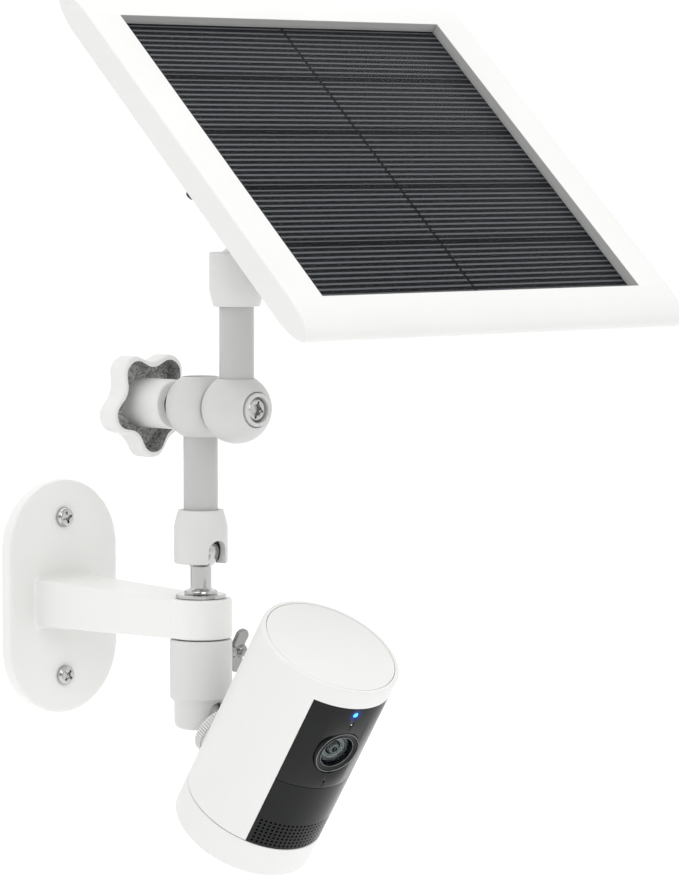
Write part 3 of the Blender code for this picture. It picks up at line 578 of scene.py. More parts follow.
def painted_reflection_rings(name):
    """Stacked lens elements as radial rings: the dark rings are blackened edges, the grey-green rings are painted
    reflections.
    """
    mat, tree, shader, coords = blank(name, Roughness=0.12, IOR=1.5)
    if not tree:
        return mat
    size = bpy.context.scene.camera_sizes
    home = camera_frame()
    centre = home @ Vector((0, -size.radius, size.lens_height))
    axis = (home.to_3x3() @ Vector((0, -1, 0))).normalized()
    arm = add(tree, "ShaderNodeVectorMath", {0: coords, 1: tuple(centre)}, operation="SUBTRACT")
    side = add(tree, "ShaderNodeVectorMath", {0: arm.outputs["Vector"], 1: tuple(axis)},
               operation="CROSS_PRODUCT")
    away = add(tree, "ShaderNodeVectorMath", {0: side.outputs["Vector"]}, operation="LENGTH")
    share = add(tree, "ShaderNodeMath", {0: away.outputs["Value"], 1: 1 / 0.0065},
                operation="MULTIPLY").outputs[0]
    ramp = add(tree, "ShaderNodeValToRGB", {"Fac": share})
    # Grey-green stops are painted reflections in the lens elements; the near-black stops are the barrel's own dark
    # edges.
    stops = ((0.0, "#0B0D0E"), (0.2, "#0B0D0E"), (0.24, "#5E6B68"), (0.33, "#3B4644"),
             (0.4, "#101313"), (0.52, "#131717"), (0.58, "#55625E"), (0.74, "#6B7874"),
             (0.8, "#232828"), (0.9, "#0C0E0E"))
    while len(ramp.color_ramp.elements) < len(stops):
        ramp.color_ramp.elements.new(1.0)
    for element, (spot, code) in zip(ramp.color_ramp.elements, stops):
        element.position = spot
        element.color = linear(code)
    tree.links.new(ramp.outputs["Color"], shader.inputs["Base Color"])
    haze = add(tree, "ShaderNodeTexNoise",
               {"Vector": coords, "Scale": per_metre(4)}).outputs["Fac"]
    gloss = add(tree, "ShaderNodeMapRange", {"Value": haze, "To Min": 0.06, "To Max": 0.2})
    tree.links.new(gloss.outputs["Result"], shader.inputs["Roughness"])
    return mat


def lamp_place():
    """Centre of the status lamp on the face."""
    size = bpy.context.scene.camera_sizes
    return tuple(camera_frame() @ Vector((0, -size.radius, size.lamp_height)))


def glowing_lamp(name, colour):
    """Frosted light pipe lit from behind: white-blue at its middle, deeper blue at its rim."""
    mat, tree, shader, coords = blank(name, Roughness=0.25, Base_Color=tuple(colour),
                                      Emission_Strength=3.2)
    if not tree:
        return mat
    facing = add(tree, "ShaderNodeLayerWeight", {"Blend": 0.4}).outputs["Facing"]
    speck = add(tree, "ShaderNodeTexNoise",
                {"Vector": coords, "Scale": per_metre(0.8)}).outputs["Fac"]
    mixed = add(tree, "ShaderNodeMath", {0: facing, 1: speck}, operation="MULTIPLY").outputs[0]
    glow = add(tree, "ShaderNodeMix", {"Factor": mixed, "A": linear("#3C8CFF"),
                                       "B": tuple(colour)}, data_type="RGBA")
    tree.links.new(glow.outputs["Result"], shader.inputs["Emission Color"])
    return mat


def machined_brass(name):
    """Turned brass insert: warm metal, patchy in its gloss."""
    mat, tree, shader, coords = blank(name, Metallic=1.0, Roughness=0.28,
                                      Base_Color=linear("#C9A85A"))
    if not tree:
        return mat
    marks = add(tree, "ShaderNodeTexNoise",
                {"Vector": coords, "Scale": per_metre(0.7), "Detail": 4.0}).outputs["Fac"]
    gloss = add(tree, "ShaderNodeMapRange", {"Value": marks, "To Min": 0.2, "To Max": 0.4})
    tree.links.new(gloss.outputs["Result"], shader.inputs["Roughness"])
    return mat


def circuit_board(name):
    """Solder mask over glass fibre: green, with a web of lighter traces."""
    mat, tree, shader, coords = blank(name, Roughness=0.4, IOR=1.5)
    if not tree:
        return mat
    trace = add(tree, "ShaderNodeTexVoronoi",
                {"Vector": coords, "Scale": per_metre(3.0)}, feature="DISTANCE_TO_EDGE")
    band = add(tree, "ShaderNodeMath", {0: trace.outputs["Distance"], 1: 0.06},
               operation="LESS_THAN")
    tone = add(tree, "ShaderNodeMix", {"Factor": band.outputs[0], "A": linear("#1E6B3C"),
                                       "B": linear("#2F8A52")}, data_type="RGBA")
    tree.links.new(tone.outputs["Result"], shader.inputs["Base Color"])
    return mat


def finishes():
    """All the finishes, by the record's slot names and a few of their own."""
    c = bpy.context.scene.colours
    return {
        "white_plastic": moulded_plastic("moulded_abs_white", c.white),
        "white_metal": powder_coat("powder_coat_white", linear("#E0E0DE")),
        "grey_plastic": moulded_plastic("moulded_acetal_grey", linear("#9A9C9E"), 0.7),
        "black_gloss": gloss_black("polished_polycarbonate_black", c.black),
        "black_plastic": moulded_plastic("moulded_abs_black", linear("#1B1C1D"), 0.6, 0.5),
        # Knob pocket: painted shade in the hollow over a real coarse stipple.
        "knob_pocket": sparked_pocket_shade("spark_eroded_pocket_painted_shade"),
        "wing": plated_steel("nickel_plated_casting", linear("#8F8F8E")),
        "steel": plated_steel("nickel_plated_steel", c.steel),
        "brass": machined_brass("machined_brass"),
        "clear_glass": sight_glass("lens_glass_clear", "#20303A", 0.06),
        "panel_glass": sight_glass("tempered_glass_clear", "#3A3E42", 0.012, 0.1, 0.15),
        "rubber": moulded_plastic("moulded_rubber_black", linear("#262626"), 0.5, 0.75, 0.2),
        "board": circuit_board("solder_mask_green"),
        # Lens rings: painted reflections in grey-green over the dark barrel and inner element.
        "lens_rings": painted_reflection_rings("lens_rings_painted_reflection"),
        # Light metal for the bezel's edge rings: painted highlights.
        "bezel_edge_highlight": plated_steel("bezel_edge_painted_highlight", linear("#7C7F81")),
        # Darker copies of the white finishes for the mast's tubes, elbow balls, collars and swivel: painted shade.
        "tube": powder_coat("powder_coat_tube_painted_shade", linear("#B4B4B3")),
        "elbow": moulded_plastic("moulded_abs_elbow_painted_shade", linear("#C4C4C3")),
        "fitting": moulded_plastic("moulded_abs_fitting_painted_shade", linear("#CDCDCC")),
        # The face round the lamp, with its painted blue glow.
        "lit_black": gloss_black("polished_polycarbonate_lit", c.black, glow=lamp_place()),
        # Grey for the panel window's side walls: painted shade in the recess.
        "recess_painted_shade": moulded_plastic("window_wall_painted_shade", linear("#A9A9A8"), 0.7, 0.5),
        "battery": moulded_plastic("shrink_wrap_grey", linear("#6E7276"), 3.0, 0.3),
        "blue_lamp": glowing_lamp("frosted_light_pipe_blue", c.lamp),
        "cells": solar_cells("printed_silicon_cells", c,
                             bpy.context.scene.panel_sizes.cell_pitch, 5, 2),
    }


# ---------------------------------------------------------------- light and shared cutters
def studio(tree, back):
    """A white room, brighter overhead and dimmer on the side that the view is taken from."""
    toward = add(tree, "ShaderNodeTexCoord").outputs["Generated"]
    height = add(tree, "ShaderNodeSeparateXYZ", {"Vector": toward}).outputs["Z"]
    over = add(tree, "ShaderNodeMapRange",
               {"Value": height, "From Min": 0.1, "From Max": 0.9, "To Max": 0.3},
               interpolation_type="SMOOTHSTEP").outputs["Result"]
    near = add(tree, "ShaderNodeVectorMath", {0: toward, 1: tuple(back)},
               operation="DOT_PRODUCT").outputs["Value"]
    dim = add(tree, "ShaderNodeMapRange",
              {"Value": near, "From Min": 0.3, "From Max": 1.0, "To Max": 0.75},
              interpolation_type="SMOOTHSTEP").outputs["Result"]
    lit = add(tree, "ShaderNodeMath", {0: over, 1: dim}, operation="SUBTRACT").outputs[0]
    power = add(tree, "ShaderNodeMath", {0: lit, 1: 1.03}, operation="ADD").outputs[0]
    background = tree.nodes["Background"]
    background.inputs["Color"].default_value = (1, 1, 1, 1)
    tree.links.new(power, background.inputs["Strength"])


def cross_slot(reach, width, z0, z1):
    """A plus-shaped cutter for a screw head."""
    h = width / 2
    outline = [(reach, -h), (reach, h), (h, h), (h, reach), (-h, reach), (-h, h), (-reach, h),
               (-reach, -h), (-h, -h), (-h, -reach), (h, -reach), (h, -h)]
    return raised("cutter", outline, z0, z1)


def notch(half, depth, mouth):
    """A round-ended slot cutter that opens towards -Y and down to the mouth."""
    outline = [(half, mouth - 3)] + arc(0, 0, half, 0, 180, 24) + [(-half, mouth - 3)]
    return raised("cutter", outline, 0, depth)


# ---------------------------------------------------------------- pieces
class CAMERA_OT_wall_bracket(bpy.types.Operator):
    """Cast bracket: stadium plate, tapered arm and boss, melted together with soft fillets"""

    bl_idname = "solarcam.wall_bracket"
    bl_label = "Wall bracket"

    def execute(self, context):
        size = context.scene.mount_sizes
        straight = size.plate_height / 2 - size.plate_radius
        deselect()
        bpy.ops.mesh.primitive_cylinder_add(vertices=128, radius=size.plate_radius,
                                            depth=size.plate_depth,
                                            location=(0, 0, size.plate_depth / 2))
        plate = named("bracket")
        placed(plate, plate.matrix_world.copy())
        for side in (1, -1):
            edit(plate)
            bpy.ops.mesh.select_mode(type="VERT")
            bpy.ops.mesh.select_all(action="DESELECT")
            bpy.ops.object.mode_set(mode="OBJECT")
            for vert in plate.data.vertices:
                vert.select = vert.co.y * side > 1e-5
            bpy.ops.object.mode_set(mode="EDIT")
            bpy.ops.transform.translate(value=(0, side * straight, 0))
            bpy.ops.object.mode_set(mode="OBJECT")
        placed(plate, WALL)
        reach = -MAST.translation.y - size.plate_depth
        deselect()
        bpy.ops.mesh.primitive_cube_add(size=1.0)
        arm = named("arm")
        root, tip = (16.0, -12.2, 8.4), (12.4, -10.2, 6.1)
        for vert in arm.data.vertices:
            near = vert.co.y > 0
            half, low, high = root if near else tip
            vert.co.x = math.copysign(half * MM, vert.co.x)
            vert.co.z = (high if vert.co.z > 0 else low) * MM
            vert.co.y = (-size.plate_depth + 0.001) if near else -size.plate_depth - reach
        edit(arm)
        pick_faces(arm, lambda c, n: n.y > 0.5)
        bpy.ops.mesh.extrude_region_move(TRANSFORM_OT_translate={"value": (0, 0, 0)})
        bpy.ops.transform.resize(value=(1.2, 1, 1.16))
        bpy.ops.transform.translate(value=(0, 0.0005, 0))
        mend()
        edit(arm)
        bpy.ops.mesh.select_all(action="SELECT")
        mend()
        rounded(arm, 2.8, 5, 60)
        boolean(plate, arm, "UNION")
        boss = disc("boss", 13.0, -10.4, 6.3)
        boolean(plate, boss, "UNION", MAST)
        remesh = plate.modifiers.new("skin", "REMESH")
        remesh.mode = "VOXEL"
        remesh.voxel_size = 0.62 * MM
        remesh.use_smooth_shade = True
        soft = plate.modifiers.new("cast", "SMOOTH")
        soft.factor = 0.6
        soft.iterations = 9
        apply_modifiers(plate)
        for vert in plate.data.vertices:
            vert.co.y = min(vert.co.y, 0.0)
        bore = disc("cutter", BORE, -12, 8, 48)
        boolean(plate, bore, "DIFFERENCE", MAST)
        for box in ("wall_screw_upper", "wall_screw_lower"):
            low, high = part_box(box)
            hole = disc("cutter", 2.3, -2, 9, 40)
            boolean(plate, hole, "DIFFERENCE", slide(z=(low.z + high.z) / 2 / MM) @ WALL)
        settle(plate, None, "bracket", "white_metal", "white_metal", "wall_bracket",
               smooth=40)
        plate.name = "bracket_casting"
        return {"FINISHED"}


class CAMERA_OT_wall_screws(bpy.types.Operator):
    """The two pan-head cross screws that hold the plate"""

    bl_idname = "solarcam.wall_screws"
    bl_label = "Wall screws"

    def execute(self, context):
        for index, node in enumerate(("wall_screw_upper", "wall_screw_lower")):
            low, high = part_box(node)
            outline = [(0, 0.2), (2.0, 0.2), (2.0, 6.3), (4.35, 6.3)]
            outline += [(4.35, 6.9)] + arc(2.55, 6.7, 1.8, 15, 90, 6) + [(0, 8.5)]
            screw = turned("screw", outline, 64)
            boolean(screw, cross_slot(2.6, 1.1, 7.0, 9.5), "DIFFERENCE")
            boolean(screw, cross_slot(1.3, 2.0, 7.4, 9.5), "DIFFERENCE",
                    Matrix.Rotation(math.radians(45), 4, "Z"))
            rounded(screw, 0.12, 2, 40)
            turn = Matrix.Rotation(math.radians(14 + 40 * index), 4, "Z")
            settle(screw, slide(z=(low.z + high.z) / 2 / MM) @ WALL @ turn, "bracket", "steel",
                   "steel", node)
            screw.name = node + "_head"
        return {"FINISHED"}


def ball_stud(name, neck_end, end):
    """Ball at the origin with a neck, stepped flange and threaded shank along +Z."""
    size = bpy.context.scene.mount_sizes
    ball = size.ball_radius / MM
    start = math.degrees(math.asin(NECK / ball))
    outline = [(0, -ball)] + arc(0, 0, ball, -90, 90 - start, 32)[1:]
    outline += [(NECK, neck_end - 0.6), (NECK + 0.5, neck_end), (FLANGE - 0.9, neck_end + 0.15),
                (FLANGE - 0.25, neck_end + 0.5), (FLANGE, neck_end + 1.0),
                (FLANGE, neck_end + FLANGE_DEPTH), (SHANK, neck_end + FLANGE_DEPTH)]
    z = neck_end + FLANGE_DEPTH + 0.5
    while z < end - THREAD_PITCH:
        outline += [(SHANK, z), (THREAD_ROOT, z + 0.4), (SHANK, z + 0.8)]
        z += THREAD_PITCH
    return turned(name, outline + [(SHANK_END, end), (0, end)], 64)


class CAMERA_OT_studs(bpy.types.Operator):
    """Ball studs of the mast, the panel and the camera, with washer, lock nut and swivel bolt"""

    bl_idname = "solarcam.studs"
    bl_label = "Ball studs"

    def execute(self, context):
        drop = MAST_BALL.translation.z / MM
        stud = ball_stud("mast_stud_turned", drop - 10.0, drop - 0.2)
        settle(stud, MAST_BALL @ Matrix.Rotation(math.pi, 4, "X"), "mast_stud", "steel", "steel",
               "mast_ball_stud")
        washer = turned("stud_washer_turned", [(BORE, 6.5), (10.4, 6.5), (10.6, 6.7),
                                               (10.6, 7.7), (10.2, 8.05), (8.0, 8.1),
                                               (BORE, 8.1)])
        settle(washer, MAST, "bracket", "steel", "steel", "stud_washer")
        bolt = turned("swivel_bolt_turned", [(0, -3.0), (SHANK_END, -3.0),
                                             (SHANK, -3.4), (SHANK, -14.9),
                                             (6.0, -14.9), (6.0, -20.4), (5.2, -21.2), (0, -21.2)],
                      64)
        settle(bolt, MAST, "bracket", "steel", "steel", "swivel_bolt")
        panel = ball_stud("panel_stud_turned", 11.4, 20.6)
        settle(panel, PANEL, "panel_stud", "steel", "steel", "panel_ball_stud")
        nut = disc("panel_lock_nut_hex", 6.2, 13.3, 16.4, 6)
        boolean(nut, disc("cutter", INSERT_BORE, 12, 18, 48))
        rounded(nut, 0.35, 2, 30)
        settle(nut, PANEL, "panel_stud", "steel", "steel", "panel_lock_nut")
        size = context.scene.mount_sizes
        ball = size.ball_radius / MM
        neck = 3.7
        start = math.degrees(math.asin(neck / ball))
        outline = [(0, -ball)] + arc(0, 0, ball, -90, 90 - start, 32)[1:]
        outline += [(neck, 10.6), (SHANK, 10.8), (SHANK, 22.6), (SHANK_END, 23.0), (0, 23.0)]
        camera = turned("camera_stud_turned", outline, 64)
        settle(camera, STUD, "camera_stud", "white_metal", "white_metal",
               "camera_ball_stud")
        return {"FINISHED"}


def collar_blank(name):
    """Collar with a ball seat at its mouth and a bore for the pole, notched towards -Y."""
    mouth = -5.2
    low = math.degrees(math.asin(mouth / SEAT))
    outline = [(7.45, 17.0), (9.2, 17.0)] + arc(8.9, 16.3, 0.8, 60, 10, 3)
    outline += [(11.05, 10.9), (11.2, 10.0), (11.2, mouth + 0.7)]
    outline += arc(10.5, mouth + 0.7, 0.7, 0, -90, 4)[1:]
    outline += [(math.sqrt(SEAT ** 2 - mouth ** 2) + 0.1, mouth)]
    outline += arc(0, 0, SEAT, low, 0, 10) + [(SEAT, 10.0), (7.45, 10.0)]
    collar = turned(name, outline)
    boolean(collar, notch(4.7, 14.0, mouth), "DIFFERENCE", ALONG_OUT)
    return rounded(collar, 0.35, 3, 40)


class CAMERA_OT_collars(bpy.types.Operator):
    """The two slotted collars that grip the mast's and the panel's balls"""

    bl_idname = "solarcam.collars"
    bl_label = "Ball collars"

    def execute(self, context):
        lower = placed(collar_blank("lower_collar_moulded"), MAST_BALL)
        settle(lower, None, "lower_mast", "fitting", "white_plastic", "lower_collar")
        flip = Matrix.Rotation(math.pi, 4, "Y")
        upper = placed(collar_blank("upper_collar_moulded"), PANEL_BALL @ flip)
        settle(upper, None, "collar", "fitting", "white_plastic", "upper_collar")
        return {"FINISHED"}


class CAMERA_OT_poles(bpy.types.Operator):
    """The mast's two tubes, with eased ends"""

    bl_idname = "solarcam.poles"
    bl_label = "Mast poles"

    def execute(self, context):
        size = context.scene.mount_sizes
        r = size.pole_radius / MM
        for node, body in (("lower_pole", "lower_mast"), ("upper_pole", "upper_mast")):
            low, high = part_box(node)
            z0, z1 = low.z / MM, high.z / MM
            outline = [(r - POLE_WALL, z0), (r - 0.3, z0), (r, z0 + 0.3), (r, z1 - 0.3),
                       (r - 0.3, z1), (r - POLE_WALL, z1)]
            pole = turned(node + "_tube", outline)
            settle(pole, axes((0, (low.y + high.y) / 2, 0), UP), body, "tube", "white_metal", node)
        return {"FINISHED"}


class CAMERA_OT_elbow(bpy.types.Operator):
    """Two flattened balls face to face, their washer, cap ring and clamp bolt"""

    bl_idname = "solarcam.elbow"
    bl_label = "Elbow"

    def execute(self, context):
        size = context.scene.mount_sizes
        r = size.elbow_radius / MM
        seam, flat, half_step = 10.7, 12.7, 11.2
        socket = size.pole_radius / MM + 0.3
        low_a = math.degrees(math.asin(-seam / r))
        high_a = math.degrees(math.asin(flat / r))
        outline = [(BORE, -seam), (9.4, -seam)] + arc(0, 0, r, low_a + 1.2, high_a - 1.5, 40)
        outline += [(6.2, flat), (BORE, flat)]
        lower = turned("elbow_ball_lower_moulded", outline)
        boolean(lower, disc("cutter", socket, 8.3, 20, 64), "DIFFERENCE",
                ALONG_OUT)
        placed(lower, ELBOW @ slide(z=half_step))
        rounded(lower, 0.25, 2, 50)
        settle(lower, None, "lower_mast", "elbow", "white_plastic", "elbow_ball_lower")
        groove = 7.7
        groove_a = math.degrees(math.acos(groove / r))
        outline = [(BORE, -seam), (9.4, -seam)] + arc(0, 0, r, low_a + 1.2, groove_a, 40)
        outline += [(7.4, flat - 0.55), (7.35, flat - 1.4), (5.3, flat - 1.4), (5.3, flat - 4.4),
                    (BORE, flat - 4.4)]
        upper = turned("elbow_ball_upper_moulded", outline)
        boolean(upper, disc("cutter", socket, 8.3, 20, 64), "DIFFERENCE",
                Matrix.Rotation(math.pi / 2, 4, "X"))
        placed(upper, ELBOW @ slide(z=-half_step) @ Matrix.Rotation(math.pi, 4, "Y"))
        rounded(upper, 0.2, 2, 50)
        settle(upper, None, "upper_mast", "elbow", "white_plastic", "elbow_ball_upper")
        washer = turned("elbow_washer_pressed", [(BORE, -0.25), (8.8, -0.25), (8.8, 0.25),
                                                 (BORE, 0.25)])
        settle(washer, ELBOW, "lower_mast", "black_plastic", "black_plastic",
               "elbow_washer")
        ring = turned("bolt_cap_ring_moulded", [(5.35, flat - 1.3), (6.9, flat - 1.3),
                                                (6.9, flat + 0.6), (6.65, flat + 0.95),
                                                (5.65, flat + 0.95), (5.35, flat + 0.65)])
        settle(ring, ELBOW @ slide(z=-half_step) @ Matrix.Rotation(math.pi, 4, "Y"), "upper_mast",
               "elbow", "white_plastic", "bolt_cap_ring")
        start = -2 * half_step - flat + 0.3
        head = [(0, start), (4.1, start), (4.9, start + 0.7), (4.9, start + 3.8)]
        bolt = turned("clamp_bolt_turned", head + [(SHANK, start + 3.8), (SHANK, 35.0),
                                                   (SHANK_END, 35.4), (0, 35.4)], 64)
        boolean(bolt, disc("cutter", 2.7, start - 1, start + 2.6, 6))
        boolean(bolt, cross_slot(3.6, 1.0, start - 1, start + 1.2), "DIFFERENCE",
                Matrix.Rotation(math.radians(15), 4, "Z"))
        rounded(bolt, 0.12, 2, 40)
        settle(bolt, KNOB, "lower_mast", "steel", "steel", "clamp_bolt")
        return {"FINISHED"}


def lobed(tip, valley):
    """A five-lobed outline with one lobe towards +Y of its own frame."""
    points = []
    n = 140
    for i in range(n):
        t = 2 * math.pi * i / n
        swing = math.cos(5 * (t - math.pi / 2))
        broad = swing * (5 - swing ** 2) / 4
        r = valley + (tip - valley) * (1 + broad) / 2
        points.append((r * math.cos(t), r * math.sin(t)))
    return points


class CAMERA_OT_star_knob(bpy.types.Operator):
    """Five-lobed clamping knob: thin-walled, hollow towards the elbow, with a hub"""

    bl_idname = "solarcam.star_knob"
    bl_label = "Star knob"

    def execute(self, context):
        size = context.scene.mount_sizes
        tip, valley = size.knob_tip / MM, size.knob_valley / MM
        crown, rim, hub_end, wall = 39.4, 29.3, 16.1, 2.3
        knob = raised("star_knob_moulded", lobed(tip, valley), rim, crown)
        rounded(knob, 1.5, 5, 60)
        pocket = raised("cutter", lobed(tip - wall, valley - wall), rim - 3, crown - wall)
        boolean(knob, pocket)
        hub = turned("hub", [(5.4, hub_end + 0.5), (5.9, hub_end), (9.7, hub_end),
                             (10.4, hub_end + 0.7), (10.4, crown - wall + 0.4),
                             (5.4, crown - wall + 0.4)])
        boolean(knob, hub, "UNION")
        boolean(knob, disc("cutter", 5.4, hub_end - 1, crown - wall - 0.6, 64))
        rounded(knob, 0.3, 2, 50)
        pale, dark = finishes()["white_plastic"], finishes()["knob_pocket"]
        knob.data.materials.append(pale)
        knob.data.materials.append(dark)
        # The pocket's floor, walls and bore get the grey stipple: painted shade inside the hollow.
        floor = crown - wall
        for face in knob.data.polygons:
            c = face.center
            r, z = math.hypot(c.x, c.y) / MM, c.z / MM
            inward = face.normal.x * c.x + face.normal.y * c.y < 0
            on_floor = abs(z - floor) < 0.05 and face.normal.z < -0.5
            on_wall = inward and rim + 1.0 < z < floor and 10.9 < r < tip - 1.0
            in_bore = r < 5.6 and hub_end + 0.6 < z < floor
            if on_floor or on_wall or in_bore:
                face.material_index = 1
        settle(knob, KNOB, "knob", "white_plastic", "white_plastic", "star_knob")
        return {"FINISHED"}


class CAMERA_OT_panel_frame(bpy.types.Operator):
    """Panel tray: one moulding with rounded top and bottom noses and a sunk window"""

    bl_idname = "solarcam.panel_frame"
    bl_label = "Panel frame"

    def execute(self, context):
        size = context.scene.panel_sizes
        white = finishes()["white_plastic"]
        half, nose = size.height / 2 / MM - size.nose / MM, size.nose / MM
        thick = size.depth / MM
        outline = []
        for side in (1, -1):
            for i in range(25):
                t = math.radians(-90 + 180 * i / 24)
                outline.append((side * (half + nose * math.cos(t)),
                                thick / 2 * (1 + side * math.sin(t))))
        width = size.width / MM
        tray = raised("panel_frame_moulded", outline, -width / 2, width / 2)
        upright = Matrix(((0, 0, 1, 0), (1, 0, 0, 0), (0, 1, 0, 0), (0, 0, 0, 1)))
        placed(tray, upright)
        rounded(tray, 0.8, 4, 60)
        w, h = size.window_width / 2 / MM, size.window_height / 2 / MM
        corners = [(-w, -h), (w, -h), (w, h), (-w, h)]
        boolean(tray, raised("cutter", corners, 4.0, 20.0))
        centre = slide(size.centre_x / MM, size.centre_y / MM, size.back / MM)
        back_lines = raised("cutter", corners, -2.0, 0.5)
        inner = raised("inner", [(-w + 1.2, -h + 1.2), (w - 1.2, -h + 1.2),
                                 (w - 1.2, h - 1.2), (-w + 1.2, h - 1.2)], -3.0, 2.0)
        boolean(back_lines, inner)
        boolean(tray, back_lines)
        rounded(tray, 0.3, 2, 60)
        placed(tray, centre)
        boolean(tray, disc("cutter", STUD_HOLE, 15, 28, 48))
        boolean(tray, disc("cutter", 2.3, -5, 8, 32), "DIFFERENCE", inlet_place())
        for x in (-FOOT_SCREW_X, FOOT_SCREW_X):
            boolean(tray, disc("cutter", 1.4, 19, 23.2, 24), "DIFFERENCE", slide(x=x))
        tray.data.materials.append(white)
        tray.data.materials.append(finishes()["recess_painted_shade"])
        # The window's inner side walls take a grey finish: painted shade in the recess between frame and glass.
        for face in tray.data.polygons:
            x = abs(face.center.x - size.centre_x)
            y = abs(face.center.y - size.centre_y)
            level = (face.center.z - size.back) / MM
            inside = x < size.window_width / 2 + 1e-4 and y < size.window_height / 2 + 1e-4
            if inside and 4.2 < level < size.depth / MM - 0.45 and abs(face.normal.z) < 0.5:
                face.material_index = 1
        settle(tray, PANEL, "panel", "white_plastic", "white_plastic", "panel_frame")
        return {"FINISHED"}


def inlet_place():
    """Where the panel's cable inlet sits, in the panel's frame."""
    size = bpy.context.scene.panel_sizes
    x = (size.centre_x - size.width / 2) / MM + 9.0
    return slide(x, 26.0, size.back / MM)


class CAMERA_OT_panel_window(bpy.types.Operator):
    """Printed cells on their sheet, and the pane over them"""

    bl_idname = "solarcam.panel_window"
    bl_label = "Panel window"

    def execute(self, context):
        size = context.scene.panel_sizes
        w, h = size.window_width / 2 / MM - 0.3, size.window_height / 2 / MM - 0.3
        centre = slide(size.centre_x / MM, size.centre_y / MM, size.back / MM)
        corners = [(-w, -h), (w, -h), (w, h), (-w, h)]
        sheet = raised("cell_sheet_printed", corners, 4.3, 7.4)
        rounded(sheet, 0.2, 2, 60)
        settle(sheet, PANEL @ centre, "panel", "cells", "cells", "panel_cell_sheet")
        pane = raised("panel_pane", corners, 7.7, size.depth / MM - 3.0)
        rounded(pane, 0.2, 2, 60)
        settle(pane, PANEL @ centre, "panel", "panel_glass", "clear_glass", "panel_glass")
        return {"FINISHED"}


class CAMERA_OT_panel_mount(bpy.types.Operator):
    """Round foot on the panel's back with its screws, insert and the cable inlet"""

    bl_idname = "solarcam.panel_mount"
    bl_label = "Panel mount"

    def execute(self, context):
        back = context.scene.panel_sizes.back / MM
        foot = turned("panel_mount_moulded", [(STUD_HOLE, back - 0.2), (16.0, back - 0.2),
                                              (16.0, back - 1.6), (14.8, back - 2.8),
                                              (13.6, back - 3.0), (5.6, back - 3.0),
                                              (STUD_HOLE, back - 2.7)])
        for x in (-FOOT_SCREW_X, FOOT_SCREW_X):
            boolean(foot, disc("cutter", 1.9, back - 5, back + 1, 32), "DIFFERENCE", slide(x=x))
        settle(foot, PANEL, "panel", "white_plastic", "white_plastic", "panel_mount_plate")
        for node, x in (("panel_screw_left", -FOOT_SCREW_X),
                        ("panel_screw_right", FOOT_SCREW_X)):
            outline = [(0, back - 4.9), (1.4, back - 4.85), (2.2, back - 4.6), (2.6, back - 4.0),
                       (2.6, back - 3.3), (1.2, back - 3.3), (1.2, back + 3.0), (0, back + 3.0)]
            screw = turned(node + "_head", outline, 40)
            boolean(screw, cross_slot(1.7, 0.7, back - 6, back - 4.1))
            settle(screw, PANEL @ slide(x=x), "panel", "steel", "steel", node)
        insert = turned("panel_insert_turned", [(INSERT_BORE, back - 2.9), (4.7, back - 2.9),
                                                (5.0, back - 2.6), (5.0, back + 3.8),
                                                (INSERT_BORE, back + 3.8)], 48)
        settle(insert, PANEL, "panel", "brass", "brass", "panel_insert")
        gland = [(0.9, -6.0), (2.2, -6.0), (2.6, -5.7), (2.7, -4.6), (2.4, -4.4), (2.4, -4.0),
                 (3.0, -3.8), (3.1, -2.8), (2.8, -2.6), (2.8, -2.2), (3.6, -1.6), (4.6, -1.2),
                 (4.6, -0.3), (2.0, -0.3), (2.0, 3.6), (0.9, 3.6)]
        inlet = turned("cable_inlet_moulded", gland, 48)
        settle(inlet, PANEL @ inlet_place(), "panel", "rubber", "rubber", "cable_inlet")
        return {"FINISHED"}


class CAMERA_OT_swivel(bpy.types.Operator):
    """Swivel cup under the boss, with its stepped skirt, slot and the bore for the wing screw"""

    bl_idname = "solarcam.swivel"
    bl_label = "Swivel"

    def execute(self, context):
        ball = STUD.translation.z / MM
        bottom = -48.3
        low = math.degrees(math.asin((bottom - ball) / SEAT))
        outline = [(BORE, -10.8), (12.2, -10.8)] + arc(12.2, -11.6, 0.8, 90, 0, 4)
        outline += [(13.0, -34.9)] + arc(12.6, -35.0, 0.4, 0, -45, 2) + [(11.6, -36.6)]
        outline += [(11.25, -37.6), (11.2, bottom + 3.6)]
        outline += arc(8.2, bottom + 3.0, 3.0, 0, -90, 6)
        outline += arc(0, ball, SEAT, low, 0, 10) + [(SEAT, -14.6), (BORE, -14.6)]
        cup = turned("swivel_housing_moulded", outline)
        boolean(cup, notch(4.6, 16.0, bottom - ball), "DIFFERENCE", slide(z=ball) @ ALONG_OUT)
        boolean(cup, disc("cutter", 2.7, 4, 16, 40), "DIFFERENCE",
                slide(z=WING.translation.z / MM) @ ALONG_X)
        rounded(cup, 0.3, 3, 45)
        settle(cup, MAST, "swivel", "fitting", "white_plastic", "swivel_housing")
        return {"FINISHED"}


